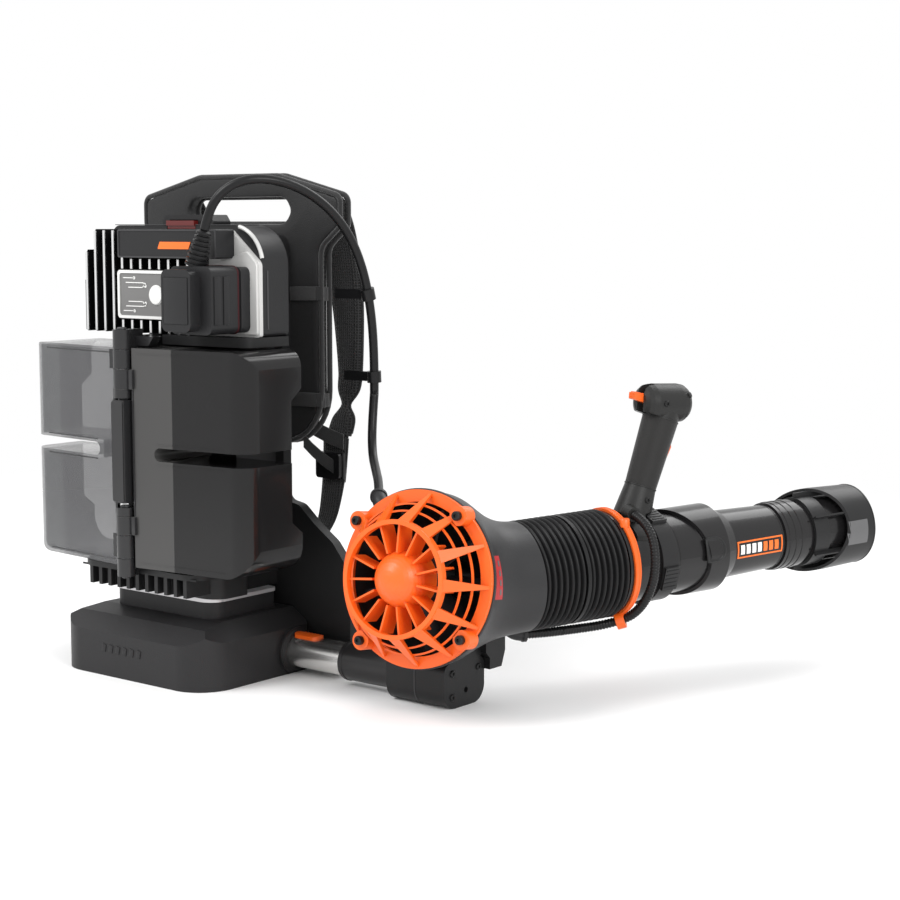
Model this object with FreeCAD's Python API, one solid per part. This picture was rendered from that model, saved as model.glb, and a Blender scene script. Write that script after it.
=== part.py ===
import FreeCAD, Part
import math
import os

V = FreeCAD.Vector
X, Y, Z = V(1, 0, 0), V(0, 1, 0), V(0, 0, 1)

# Frame: +X is the wearer's right, +Y the wearer's forward, +Z up, in millimetres.
# The origin is under the hinge spine, on the floor.

# ---- driving dimensions -------------------------------------------------
BASE_HALF, BASE_REAR, BASE_FRONT = 114.5, -77.0, 83.0
BASE_LIP, BASE_TOP, BASE_CORNER, SHELL = 47.0, 66.0, 40.0, 4.0
NECK_HALF, NECK_REAR, NECK_FRONT, NECK_TOP = 78.0, -26.0, 70.0, 84.0
TRIM_H = 4.0
FRAME_Y0, FRAME_Y1 = 84.0, 96.0
COMB_TOP, COMB_PITCH, COMB_TEETH = 119.0, 14.5, 11

HINGE_Y, PIN_R, KNUCKLE_R, RUN_GAP = -74.5, 3.0, 9.5, 0.06
POST_Y = -62.0
DOOR_IN, DOOR_OUT, DOOR_Z0, DOOR_Z1, DOOR_WALL = 13.0, 163.0, 122.0, 352.0, 2.6
DOOR_REAR_IN, DOOR_REAR_OUT, DOOR_FRONT, DOOR_EAR = -73.5, -60.0, 7.0, 22.0
SLOT_X, SLOT_Z, SLOT_H = 42.0, 243.0, 14.0

HUB_HALF, HUB_Y0, HUB_Y1, HUB_Z0, HUB_Z1 = 133.0, -2.0, 36.0, 364.0, 478.0
FIN_PITCH, FIN_T, FIN_REAR = 14.3, 2.4, -25.0

PAD_HALF, PAD_Z0, PAD_TOP, PAD_Y0, PAD_Y1 = 120.0, 245.0, 530.0, 96.3, 114.0
YOKE_HALF, GRIP_HALF, GRIP_Z, GRIP_H = 148.0, 76.0, 494.0, 13.5

ARM_Y, ARM_Z, TUBE_R, TUBE_WALL = 60.0, 25.0, 17.5, 2.5
SLEEVE_X0, SEAM_X, BLOCK_X1 = 194.0, 270.0, 345.0
SLEEVE_R, PIN_X0, JOURNAL_R, BLOCK_TOP = 20.5, 237.0, 9.0, 47.0

FAN_POS, FAN_TURN, FAN_TILT = V(335.4, 0, 137), 5.0, -8.0
FLANGE_R, LIP_R, LIP_Y, DOME_R, RING_T = 84.0, 56.0, -44.0, 28.0, 4.0
DUCT_POS, WAND_TURN, WAND_TILT = V(374, 110, 127.7), -21.5, 2.6
DUCT_R, BELLOWS_L = 53.0, 102.0
CABLE_D, CONDUIT_D = 9.5, 10.0


# ---- shape helpers --------------------------------------------------------
def box(x0, x1, y0, y1, z0, z1):
    return Part.makeBox(x1 - x0, y1 - y0, z1 - z0, V(x0, y0, z0))


def rod(start, direction, radius, length):
    return Part.makeCylinder(radius, length, start, direction)


def pipe(start, direction, outer, inner, length):
    return rod(start, direction, outer, length).cut(rod(start, direction, inner, length))


def rounded(points, radii):
    """Closed flat wire through the points, with each corner rounded by its radius."""
    count = len(points)
    ends = []
    for i, corner in enumerate(points):
        radius = radii[i] if isinstance(radii, (list, tuple)) else radii
        back = (points[i - 1] - corner).normalize()
        ahead = (points[(i + 1) % count] - corner).normalize()
        half = back.getAngle(ahead) / 2
        if radius <= 0 or half > math.pi / 2 - 1e-4:
            ends.append((corner, None, corner))
            continue
        reach = radius / math.tan(half)
        middle = corner + (back + ahead).normalize() * (radius / math.sin(half) - radius)
        ends.append((corner + back * reach, middle, corner + ahead * reach))
    edges = []
    for i, (start, middle, end) in enumerate(ends):
        if middle is not None:
            edges.append(Part.Arc(start, middle, end).toShape())
        after = ends[(i + 1) % count][0]
        if (after - end).Length > 1e-6:
            edges.append(Part.LineSegment(end, after).toShape())
    return Part.Wire(edges)


def slab(plane, outline, low, high, radii=0):
    """Prism of an outline drawn in the 'xy', 'xz' or 'yz' plane."""
    place = {"xy": lambda a, b: V(a, b, low), "xz": lambda a, b: V(a, low, b),
             "yz": lambda a, b: V(low, a, b)}[plane]
    along = {"xy": Z, "xz": Y, "yz": X}[plane]
    face = Part.Face(rounded([place(a, b) for a, b in outline], radii))
    return face.extrude(along * (high - low))


def turned(profile):
    """Solid turned about the Y axis from (radius, y) corners."""
    loop = [V(r, y, 0) for r, y in profile]
    return Part.Face(Part.makePolygon(loop + loop[:1])).revolve(V(), Y, 360)


def tube_turned(outer, inner, y0, y1):
    return turned([(inner, y0), (outer, y0), (outer, y1), (inner, y1)])


def mirrored(shape):
    return shape.mirror(V(), X)


def fused(shapes):
    return shapes[0].multiFuse(shapes[1:]).removeSplitter() if len(shapes) > 1 else shapes[0]


def band(path, half_thick, x0, x1):
    """Strap of even thickness that follows (y, z) points, between two x planes."""
    left, right = [], []
    for i, (y, z) in enumerate(path):
        y_a, z_a = path[max(i - 1, 0)]
        y_b, z_b = path[min(i + 1, len(path) - 1)]
        size = math.hypot(y_b - y_a, z_b - z_a)
        n_y, n_z = (z_b - z_a) / size * half_thick, -(y_b - y_a) / size * half_thick
        left.append((y + n_y, z + n_z))
        right.append((y - n_y, z - n_z))
    return slab("yz", left + right[::-1], x0, x1)


def placed(shape, position, turn, tilt):
    """Turn a piece built along +Y about Z, tilt it up about its own X, and put it in place."""
    rotation = FreeCAD.Rotation(Z, turn) * FreeCAD.Rotation(X, tilt)
    copy = shape.copy()
    copy.Placement = FreeCAD.Placement(position, rotation)
    return copy


def at_fan(shape):
    return placed(shape, FAN_POS, FAN_TURN, FAN_TILT)


def at_duct(shape):
    return placed(shape, DUCT_POS, WAND_TURN, WAND_TILT)


def duct_point(x, y, z):
    rotation = FreeCAD.Rotation(Z, WAND_TURN) * FreeCAD.Rotation(X, WAND_TILT)
    return DUCT_POS + rotation.multVec(V(x, y, z))


def cord(name, points, diameter):
    """Round cord: straight runs joined by the largest arcs that their runs allow."""
    points = [V(*p) for p in points]
    edges, radii, start = [], [], points[0]
    for i in range(1, len(points) - 1):
        before = points[i - 1] - points[i]
        after = points[i + 1] - points[i]
        half_turn = (math.pi - before.getAngle(after)) / 2
        reach = 0.45 * min(before.Length, after.Length)
        radius = reach / math.tan(half_turn)
        radii.append(round(radius, 1))
        a = points[i] + before.normalize() * reach
        b = points[i] + after.normalize() * reach
        inward = (before + after).normalize()
        middle = points[i] + inward * (radius / math.cos(half_turn) - radius)
        edges.append(Part.LineSegment(start, a).toShape())
        edges.append(Part.Arc(a, middle, b).toShape())
        start = b
    edges.append(Part.LineSegment(start, points[-1]).toShape())
    path = Part.Wire(edges)
    first = points[1] - points[0]
    ring = Part.Wire(Part.makeCircle(diameter / 2, points[0], first))
    solid = path.makePipeShell([ring], True, False)
    wanted = math.pi * diameter ** 2 / 4 * path.Length
    print(name, "radii", radii, "length", round(path.Length, 1), "volume ratio",
          round(solid.Volume / wanted, 4))
    return solid


def save(name, shape):
    if shape.ShapeType != "Solid" and len(shape.Solids) == 1:
        shape = shape.Solids[0]
    print(f"{name}: solids {len(shape.Solids)} valid {shape.isValid()} volume {shape.Volume:.0f}")
    shape.exportStep(f"parts/{name}.step")


# ---- base and frame ---------------------------------------------------------
def base_block(inset, z0):
    """Low housing with a sloping rear shoulder; inset gives the inside of its wall."""
    half, rear, front = BASE_HALF - inset, BASE_REAR + inset, BASE_FRONT - inset
    corner = BASE_CORNER - inset
    plan = slab("xy", [(-half, rear), (half, rear), (half, front), (-half, front)], z0, 100,
                [corner, corner, 6, 6])
    side = slab("yz", [(rear, z0), (rear, BASE_LIP - inset * 0.5), (-55, BASE_TOP - 4 - inset),
                       (NECK_REAR, BASE_TOP - inset), (front, BASE_TOP - inset), (front, z0)],
                -half, half)
    back = slab("xz", [(-half, z0), (half, z0), (half, BASE_TOP - 16 - inset),
                       (half - 26, BASE_TOP + 1 - inset), (26 - half, BASE_TOP + 1 - inset),
                       (-half, BASE_TOP - 16 - inset)], rear, front)
    return plan.common(side).common(back)


def base_parts():
    neck = slab("xy", [(-NECK_HALF, NECK_REAR), (NECK_HALF, NECK_REAR), (NECK_HALF, NECK_FRONT),
                       (-NECK_HALF, NECK_FRONT)], BASE_TOP - 6, NECK_TOP, [18, 18, 6, 6])
    housing = fused([base_block(0, 0), neck])
    housing = housing.cut(base_block(SHELL, -1))
    socket = rod(V(30, ARM_Y, ARM_Z + 0.2), X, 25, 88)
    housing = fused([housing, socket.common(box(30, 118, 30, BASE_FRONT, 3.2, 60))])
    housing = housing.cut(rod(V(34, ARM_Y, ARM_Z), X, TUBE_R + 0.05, 90))
    save("base_housing", housing)
    floor = base_block(SHELL + 0.2, 0).common(box(-200, 200, -200, 200, 0, 3))
    save("base_plate", floor)
    ring = slab("xy", [(-NECK_HALF - 2, NECK_REAR - 2), (NECK_HALF + 2, NECK_REAR - 2),
                       (NECK_HALF + 2, NECK_FRONT), (-NECK_HALF - 2, NECK_FRONT)],
                NECK_TOP, NECK_TOP + TRIM_H, [20, 20, 6, 6])
    save("neck_trim", ring)
    z0 = NECK_TOP + TRIM_H
    half = 92.0
    tray = slab("xy", [(-half, -61.7), (half, -61.7), (half, 20), (-half, 20)], COMB_TOP - 6,
                COMB_TOP, [24, 24, 4, 4])
    core = slab("xy", [(6 - half, -28), (half - 6, -28), (half - 6, 20), (6 - half, 20)],
                z0, COMB_TOP, [20, 20, 4, 4])
    teeth = [box(x - 2.5, x + 2.5, -60, -20, z0 + 6, COMB_TOP - 3) for x in
             [(i - COMB_TEETH // 2) * COMB_PITCH for i in range(COMB_TEETH)]]
    save("vent_comb", fused([tray, core] + teeth))


def frame_parts():
    right = [(0, 0), (166, 0), (173, 10), (173, 112), (148, 142), (124, 158), (100, 178),
             (78, 182), (78, 468), (0, 468)]
    outline = right[1:-1] + [(-x, z) for x, z in right[1:-1][::-1]]
    radii = [4, 6, 26, 20, 14, 16, 10, 14]
    plate = slab("xz", outline, FRAME_Y0, FRAME_Y1, radii + radii[::-1])
    hand = slab("xz", [(-60, 434), (60, 434), (60, 455), (-60, 455)], FRAME_Y0 - 1,
                FRAME_Y1 + 1, 10)
    save("frame_plate", plate.cut(hand))
    lower = box(-66, 66, 24, FRAME_Y0, NECK_TOP + TRIM_H, 364)
    upper = box(-66, 66, HUB_Y1, FRAME_Y0, 364, 430)
    stem = fused([lower, upper]).cut(box(-62, 62, 28, FRAME_Y0 - 4, 122, 426))
    stem = stem.cut(box(-NECK_HALF - 2, NECK_HALF + 2, NECK_REAR, NECK_FRONT + 0.01, 80, 88))
    save("backbone", stem)


# ---- hinge spine and doors -----------------------------------------------------
UPPER_PIN, LOWER_PIN = (300.0, 371.0), (112.0, 185.0)
FIXED_KNUCKLES = [(350.4, 371.0), (300.0, 308.8), (176.2, 185.0), (112.0, 131.0)]
LEFT_KNUCKLES = [(330.2, 350.0), (131.4, 156.0)]
RIGHT_KNUCKLES = [(309.2, 329.8), (156.4, 175.8)]


def knuckle(z0, z1):
    ring = rod(V(0, HINGE_Y, z0), Z, KNUCKLE_R, z1 - z0)
    return ring.cut(rod(V(0, HINGE_Y, z0), Z, PIN_R + RUN_GAP, z1 - z0))


def spine_parts():
    wall = box(-5, 5, POST_Y, 24, COMB_TOP, 364)
    post = box(-9, 9, POST_Y, POST_Y + 12, COMB_TOP, 364)
    pieces = [wall, post]
    for z0, z1 in FIXED_KNUCKLES:
        web = box(-5, 5, HINGE_Y + 6, POST_Y + 12, z0, z1)
        pieces.append(web.cut(rod(V(0, HINGE_Y, z0), Z, KNUCKLE_R - 1, z1 - z0)))
        pieces.append(knuckle(z0, z1))
    hook = slab("xz", [(2, 354), (26, 354), (34, 364), (2, 364)], POST_Y, POST_Y + 12)
    pieces.append(hook)
    column = fused(pieces)
    cut_comb = box(-90, 90, POST_Y, 24, 100, COMB_TOP)
    save("spine_column", column.cut(cut_comb))
    outline = [(-8.5, HINGE_Y - 8.5), (8.5, HINGE_Y - 8.5), (8.5, POST_Y), (-8.5, POST_Y)]
    save("spine_cover", slab("xy", outline, 190, 298, [2, 2, 0, 0]))
    pins = [rod(V(0, HINGE_Y, z0 + 1), Z, PIN_R, z1 - z0 - 2) for z0, z1 in (UPPER_PIN, LOWER_PIN)]
    save("hinge_pins", Part.makeCompound(pins))


def door_form(inset, z0, z1):
    """Outer form of the right door, or the hollow inside its wall."""
    out, low, high = DOOR_OUT - inset, max(z0, DOOR_Z0 + inset), min(z1, DOOR_Z1 - inset)
    front = DOOR_EAR + (2 if inset else 0)
    plan = slab("xy", [(DOOR_IN, DOOR_REAR_IN + inset), (out, DOOR_REAR_OUT + inset),
                       (out, front), (DOOR_IN, front)], low, high, [0, 22 - inset, 0, 0])
    rear = slab("xz", [(DOOR_IN, low), (out, low), (out, high), (DOOR_IN, high)], -90, 40,
                [0, 28 - inset if z0 <= DOOR_Z0 else 3, 18 - inset if z1 >= DOOR_Z1 else 3, 0])
    form = plan.common(rear)
    if inset:
        return form
    middle = (DOOR_Z0 + DOOR_Z1) / 2
    span = (DOOR_Z1 - DOOR_Z0) / 2
    side = [(-90, DOOR_Z0), (DOOR_EAR, DOOR_Z0), (DOOR_EAR, middle - span + 40),
            (DOOR_FRONT, middle - span + 52), (DOOR_FRONT, middle + span - 52),
            (DOOR_EAR, middle + span - 40), (DOOR_EAR, DOOR_Z1), (-90, DOOR_Z1)]
    return form.common(slab("yz", side, 0, 200))


def door(knuckles):
    low, high = SLOT_Z - SLOT_H / 2, SLOT_Z + SLOT_H / 2
    shell = door_form(0, DOOR_Z0, DOOR_Z1)
    notch = slab("xz", [(SLOT_X, low), (200, low), (200, high), (SLOT_X, high)], -90, 40,
                 [SLOT_H / 2 - 0.1, 0, 0, SLOT_H / 2 - 0.1])
    shell = shell.cut(notch)
    shell = shell.cut(door_form(DOOR_WALL, DOOR_Z0, low - DOOR_WALL))
    shell = shell.cut(door_form(DOOR_WALL, high + DOOR_WALL, DOOR_Z1))
    shell = shell.cut(box(DOOR_IN, SLOT_X - DOOR_WALL, DOOR_REAR_IN + DOOR_WALL + 3, 40,
                          low - DOOR_WALL - 4, high + DOOR_WALL + 4))
    pieces = [shell]
    for z0, z1 in knuckles:
        web = box(3, DOOR_IN + 3, DOOR_REAR_IN - 2.4, DOOR_REAR_IN + DOOR_WALL, z0, z1)
        pieces.append(web.cut(rod(V(0, HINGE_Y, z0), Z, KNUCKLE_R - 1, z1 - z0)))
        pieces.append(knuckle(z0, z1))
    return fused(pieces)


def bay_parts():
    save("door_right", door(RIGHT_KNUCKLES))
    save("door_left", mirrored(door(LEFT_KNUCKLES)))
    for name, z0, z1 in (("battery_lower", 130, 230), ("battery_upper", 256, 346)):
        pack = slab("xy", [(22, -46), (148, -38), (148, 16), (22, 16)], z0, z1, [6, 14, 4, 4])
        grip = box(143, 150, -22, 4, (z0 + z1) / 2 - 14, (z0 + z1) / 2 + 14)
        save(name, pack.cut(grip))
    rail = fused([box(5, 21.5, -30, 20, 140, 216), box(5, 21.5, -30, 20, 266, 336),
                  box(5, 12, 4, 23.8, 130, 350)])
    save("bay_terminals", Part.makeCompound([rail, mirrored(rail)]))


# ---- hub ---------------------------------------------------------------------------
RIGHT_CHAMFER_X, RIGHT_CHAMFER_Z, FRAME_TOP = 92.0, 440.0, 474.0
LEFT_CHAMFER_X, LEFT_CHAMFER_Z, FIN_X0, FIN_COUNT, SINK_X0 = 97.0, 416.0, -109.0, 12, -129.0
LATCH = (-6.0, 36.0)


def hub_parts():
    body = slab("xz", [(3 - HUB_HALF, HUB_Z0), (HUB_HALF, HUB_Z0), (HUB_HALF, HUB_Z1),
                       (-88, HUB_Z1), (3 - HUB_HALF, 408)], HUB_Y0, HUB_Y1, [6, 6, 42, 12, 12])
    save("hub_body", body.cut(box(LATCH[0] - 1, LATCH[1] + 1, HUB_Y0 - 1, 12, HUB_Z1 - 10, HUB_Z1 + 1)))
    outline = [(-HUB_HALF, HUB_Z0), (HUB_HALF, HUB_Z0), (HUB_HALF, RIGHT_CHAMFER_Z),
               (RIGHT_CHAMFER_X, FRAME_TOP), (-LEFT_CHAMFER_X, FRAME_TOP),
               (-HUB_HALF, LEFT_CHAMFER_Z)]
    save("hub_frame", slab("xz", outline, HUB_Y0 - 5, HUB_Y0, [3, 3, 8, 8, 8, 8]))
    edge = [(SINK_X0, HUB_Z0), (60, HUB_Z0), (60, FRAME_TOP), (SINK_X0 + 35, FRAME_TOP),
            (SINK_X0, 418)]
    limit = slab("xz", edge, FIN_REAR - 1, HUB_Y0, 0)
    panel = box(-60, 58, FIN_REAR - 1, -12, 378.9, 431.1)
    fins = []
    for i in range(FIN_COUNT):
        x = FIN_X0 + i * FIN_PITCH
        fins.append(box(x - FIN_T / 2, x + FIN_T / 2, FIN_REAR, -9, HUB_Z0, FRAME_TOP))
    plate = box(SINK_X0, 60, -11, -7, HUB_Z0, FRAME_TOP)
    sink = fused([plate] + fins).common(limit)
    sink = sink.cut(panel).cut(box(-50.5, 100, -33, -7, 443.5, 475))
    save("heat_sink", fused([sink, box(-58, 56, -14, -9, 382, 428)]))
    save("status_panel", slab("xz", [(-59, 379), (57, 379), (57, 431), (-59, 431)],
                              FIN_REAR - 1, -14, 3))
    save("badge_plate", slab("xz", [(-50, 444), (98, 444), (98, FRAME_TOP), (-50, FRAME_TOP)],
                             -33, -7, 2))
    cap = slab("xz", [(-20, HUB_Z1), (62, HUB_Z1), (54, 489), (-13, 489)], 2, 27, 3)
    save("latch_cap", cap.cut(box(LATCH[0] - 0.5, LATCH[1] + 0.5, 1, 14, HUB_Z1 - 1, 484)))
    key = box(LATCH[0], LATCH[1], -4, 9, HUB_Z1 - 3.5, HUB_Z1 + 5)
    save("hub_latch", key.cut(box(-20, 60, -8, -1.7, HUB_Z1 - 5, HUB_Z1 - 0.2)))
    shelf = slab("xy", [(12, -30), (HUB_HALF, -26), (HUB_HALF + 2, HUB_Y1), (12, HUB_Y1)],
                 354, HUB_Z0, [2, 12, 4, 2])
    shelf = shelf.cut(box(-70, 66.2, 23.8, 90, 350, 370))
    shelf = shelf.cut(box(-10, 36, POST_Y - 1, POST_Y + 13, 350, 366))
    save("hub_shelf", shelf)


RELIEF_L = 38.0


def plug_parts():
    seat = slab("xz", [(64, 369), (122, 369), (122, 436), (64, 436)], -22, -7, 7)
    body = slab("xz", [(60, 368), (120, 368), (120, 437), (60, 437)], -62, -22, 8)
    nose = slab("xz", [(62, 371), (104, 371), (104, 434), (62, 434)], -76, -62, 8)
    save("plug_seat", seat.cut(box(60, 100.5, -33, -6, 435.9, 480)))
    save("power_plug", fused([body, nose]))
    start = V(88, -52, 436.5)
    lean = V(0.26, 0.08, 0.962).normalize()
    rings = [Part.makeCone(11.5, 6.4, RELIEF_L, start, lean)]
    for i in range(5):
        rings.append(rod(start + lean * (4 + 7 * i), lean, 12.6 - i * 1.1, 3.8))
    relief = fused(rings)
    relief = relief.cut(box(40, 140, -80, -20, 420, 437))
    save("plug_relief", relief)
    return start + lean * RELIEF_L, lean


# ---- soft harness -----------------------------------------------------------------
def harness_parts():
    right = [(PAD_HALF, PAD_Z0), (PAD_HALF, 455), (YOKE_HALF, 478), (YOKE_HALF, 508),
             (60, PAD_TOP)]
    outline = right + [(-x, z) for x, z in right[::-1]]
    radii = [58, 20, 10, 10, 30]
    pad = slab("xz", outline, PAD_Y0, PAD_Y1, radii + radii[::-1])
    hole = slab("xz", [(-GRIP_HALF, GRIP_Z - GRIP_H), (GRIP_HALF, GRIP_Z - GRIP_H),
                       (GRIP_HALF, GRIP_Z + GRIP_H), (-GRIP_HALF, GRIP_Z + GRIP_H)], PAD_Y0 - 1,
                PAD_Y1 + 1, GRIP_H - 0.1)
    save("back_pad", pad.cut(hole))
    strap = [(PAD_Y1 + 7, 506), (136, 480), (147, 441), (152, 398), (152, 354), (149, 311),
             (141, 275), (136, 250)]
    lower = [(136, 249.6), (134, 222), (129, 190), (120, 160), (104, 140)]
    shoulder = band(strap, 6.5, 82, 133)
    save("shoulder_strap_right", shoulder)
    save("shoulder_strap_left", mirrored(shoulder))
    web = band(lower, 2.5, 96, 121).cut(box(90, 160, 60, 96, 100, 200))
    save("lower_straps", Part.makeCompound([web, mirrored(web)]))
    buckle = slab("xz", [(92, 204), (126, 204), (126, 232), (92, 232)], 120, 127.6, 4)
    save("buckles", Part.makeCompound([buckle, mirrored(buckle)]))


# ---- arm --------------------------------------------------------------------------
def arm_parts():
    tube = pipe(V(36, ARM_Y, ARM_Z), X, TUBE_R, TUBE_R - TUBE_WALL, 200)
    slot = slab("xy", [(118.6, 51.5), (152.4, 51.5), (152.4, 68.5), (118.6, 68.5)],
                ARM_Z + 5, 60, 6)
    save("arm_tube", tube.cut(slot))
    key = slab("xy", [(119, 51.9), (152, 51.9), (152, 68.1), (119, 68.1)],
               ARM_Z + 10, 60, 5.6)
    save("arm_button", key.common(rod(V(100, ARM_Y, ARM_Z), X, TUBE_R + 3, 60)))
    sleeve = rod(V(SLEEVE_X0, ARM_Y, ARM_Z), X, SLEEVE_R, SEAM_X - 0.3 - SLEEVE_X0)
    sleeve = sleeve.cut(rod(V(0, ARM_Y, ARM_Z), X, TUBE_R + 0.05, PIN_X0 - 0.9))
    sleeve = sleeve.cut(rod(V(PIN_X0 - 2, ARM_Y, ARM_Z), X, JOURNAL_R + RUN_GAP, 60))
    save("arm_sleeve", sleeve)
    block = slab("yz", [(29, 0), (94, 0), (94, BLOCK_TOP), (29, BLOCK_TOP)], SEAM_X, BLOCK_X1,
                 [18, 18, 10, 10])
    block = block.cut(rod(V(SEAM_X - 1, ARM_Y, ARM_Z), X, JOURNAL_R, 42))
    save("swivel_block", block.cut(rod(V(BLOCK_X1 - 8, ARM_Y + 4, 16), X, 3, 10)))
    save("swivel_pin", rod(V(PIN_X0, ARM_Y, ARM_Z), X, JOURNAL_R, SEAM_X + 41 - PIN_X0))


# ---- fan --------------------------------------------------------------------------
def housing_form(inset):
    """Elbow from the round intake flange to the duct, as a loft of circles."""
    fan = FreeCAD.Rotation(Z, FAN_TURN) * FreeCAD.Rotation(X, FAN_TILT)
    duct = FreeCAD.Rotation(Z, WAND_TURN) * FreeCAD.Rotation(X, WAND_TILT)
    steps = [(0.0, FLANGE_R), (0.22, FLANGE_R + 1), (0.42, 78), (0.62, 66), (0.8, 58.5),
             (1.0, DUCT_R + 3)]
    rings = []
    a, b = FAN_POS, DUCT_POS
    lead = (b - a).Length * 0.35
    p1 = a + fan.multVec(Y) * lead
    p2 = b - duct.multVec(Y) * lead
    for t, radius in steps:
        s = 1 - t
        centre = a * s ** 3 + p1 * (3 * s * s * t) + p2 * (3 * s * t * t) + b * t ** 3
        turn = (p1 - a) * (3 * s * s) + (p2 - p1) * (6 * s * t) + (b - p2) * (3 * t * t)
        rings.append(Part.Wire(Part.makeCircle(radius - inset, centre, turn)))
    return Part.makeLoft(rings, True)


def housing_end():
    return at_duct(tube_turned(DUCT_R + 3, 0.01, -4, 0))


def fan_parts():
    outer = housing_form(0)
    spigot = at_duct(tube_turned(DUCT_R - 4.3, DUCT_R - 7.5, -6, 14))
    save("fan_housing", fused([outer.cut(housing_form(3.5)).cut(housing_end()), spigot,
                               housing_end().cut(at_duct(tube_turned(DUCT_R - 7.5, 0.01, -9, 9)))]))
    saddle = box(290, 345, 34, 90, BLOCK_TOP, 110).cut(outer)
    outline = [(88, BLOCK_TOP + 3), (94.4, 44), (94.4, 32), (114, 32), (120, 48), (120, 92), (88, 92)]
    lug = slab("yz", outline, 322, 352, 0)
    lug = lug.cut(outer)
    parts = [s for s in fused([saddle, lug]).Solids if s.BoundBox.ZMin < 60]
    save("fan_saddle", parts[0])
    flange = tube_turned(FLANGE_R + 3, FLANGE_R - 9, -RING_T, -0.2)
    lip = tube_turned(LIP_R + 1.5, LIP_R - 3, LIP_Y, LIP_Y + 7)
    dome = [(DOME_R * math.sin(a), LIP_Y + 20 - DOME_R * math.cos(a)) for a in
            [math.radians(angle) for angle in range(0, 91, 9)]]
    hub = turned(dome + [(DOME_R, -8), (0, -8)])
    corners = [(LIP_R, LIP_Y, 6.5), (LIP_R, LIP_Y, -6.5), (LIP_R, LIP_Y + 9, 5), (LIP_R, LIP_Y + 9, -5),
               (FLANGE_R + 1, -RING_T, 1.4), (FLANGE_R + 1, -RING_T, -1.4), (FLANGE_R + 1, -1, 1.4),
               (FLANGE_R + 1, -1, -1.4)]
    low, high, mid, deep, tip, tip_b, foot, foot_b = [V(*c) for c in corners]
    sides = [(low, high, tip_b, tip), (mid, foot, foot_b, deep), (low, mid, deep, high),
             (tip, tip_b, foot_b, foot), (low, tip, foot, mid), (high, deep, foot_b, tip_b)]
    faces = []
    for a, b, c, d in sides:
        faces += [Part.Face(Part.makePolygon([a, b, c, a])), Part.Face(Part.makePolygon([a, c, d, a]))]
    outer_fin = Part.makeSolid(Part.makeShell(faces))
    if outer_fin.Volume < 0:
        outer_fin.reverse()
    inner_fin = box(DOME_R - 2, LIP_R - 1, LIP_Y + 4, LIP_Y + 26, -1, 1)
    pieces = [flange, lip, hub]
    for i in range(13):
        pieces.append(outer_fin.rotated(V(), Y, i * 360 / 13))
    for i in range(15):
        pieces.append(inner_fin.rotated(V(), Y, 7 + i * 24))
    ears = []
    for angle in (38, 128, 218, 308):
        ear = Part.makeCylinder(9.5, 16, V(FLANGE_R - 1, -16, 0), Y)
        ear = ear.cut(Part.makeCylinder(2.6, 20, V(FLANGE_R - 1, -17, 0), Y))
        ears.append(ear.cut(turned([(0, -20), (FLANGE_R - 9, -20), (FLANGE_R - 9, 2), (0, 2)]))
                    .common(box(-200, 200, -16, -0.2, -50, 50)).rotated(V(), Y, angle))
    grille = fused(pieces + ears)
    rings = [tube_turned(radius + 0.9, radius - 0.9, y, y + 2) for radius, y in ((66, -26), (73, -16))]
    save("intake_grille", at_fan(fused([grille] + rings)))
    screws = []
    for angle in (38, 128, 218, 308):
        screw = fused([Part.makeCylinder(2.5, 12, V(FLANGE_R - 1, -16, 0), Y),
                       Part.makeCylinder(4.6, 3.1, V(FLANGE_R - 1, -19.1, 0), Y)])
        screws.append(screw.rotated(V(), Y, angle))
    save("grille_screws", at_fan(Part.makeCompound(screws)))
    rotor_hub = turned([(0, 2), (20, 2), (24, 8), (24, 30), (3.5, 30), (3.5, 12), (0, 12)])
    blade = box(22, 70, 8, 26, -1.2, 1.2).rotated(V(40, 17, 0), X, 32)
    blades = [blade.rotated(V(), Y, i * 40) for i in range(9)]
    save("fan_rotor", at_fan(fused([rotor_hub] + blades)))
    pod = [turned([(0, 34), (22, 34), (24, 38), (20, 66), (0, 74)]),
           turned([(0, 12.2), (3.44, 12.2), (3.44, 36), (0, 36)])]
    vanes = [box(18, 88, 42, 56, -1.2, 1.2).rotated(V(), Y, 12 + i * 72) for i in range(5)]
    vanes = [at_fan(vane).common(housing_form(3.6)) for vane in vanes]
    save("motor_pod", fused([at_fan(fused(pod))] + vanes))


# ---- bellows, wand and nozzle -------------------------------------------------------
def bellows(y0, y1, ribs):
    """Ribbed hose: a zigzag wall between two plain cuffs."""
    pitch = (y1 - y0) / ribs
    outside, inside = [], []
    for i in range(ribs):
        y = y0 + i * pitch
        outside += [(DUCT_R - 2, y), (DUCT_R + 3, y + pitch * 0.3), (DUCT_R + 3, y + pitch * 0.7)]
        inside += [(DUCT_R - 4, y), (DUCT_R + 1, y + pitch * 0.4), (DUCT_R + 1, y + pitch * 0.6)]
    outside.append((DUCT_R - 2, y1))
    inside.append((DUCT_R - 4, y1))
    return turned(outside + inside[::-1])


def oblique(y_mid, per_x, per_z, reach):
    """Wedge that removes everything behind a slanting plane across the tube."""
    corners = [V(x, y_mid + per_x * x + per_z * z, z) for x, z in
               ((-80, -80), (80, -80), (80, 80), (-80, 80))]
    face = Part.Face(Part.makePolygon(corners + corners[:1]))
    return face.extrude(V(0, -reach, 0))


REAR_L, LOCK_L, SLEEVE_L, STEP_L, COLLAR_L, RIM_L, TIP_L = 102.0, 147.0, 172.0, 234.0, 318.0, 366.0, 437.0
MOUTH_L = 422.0


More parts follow.
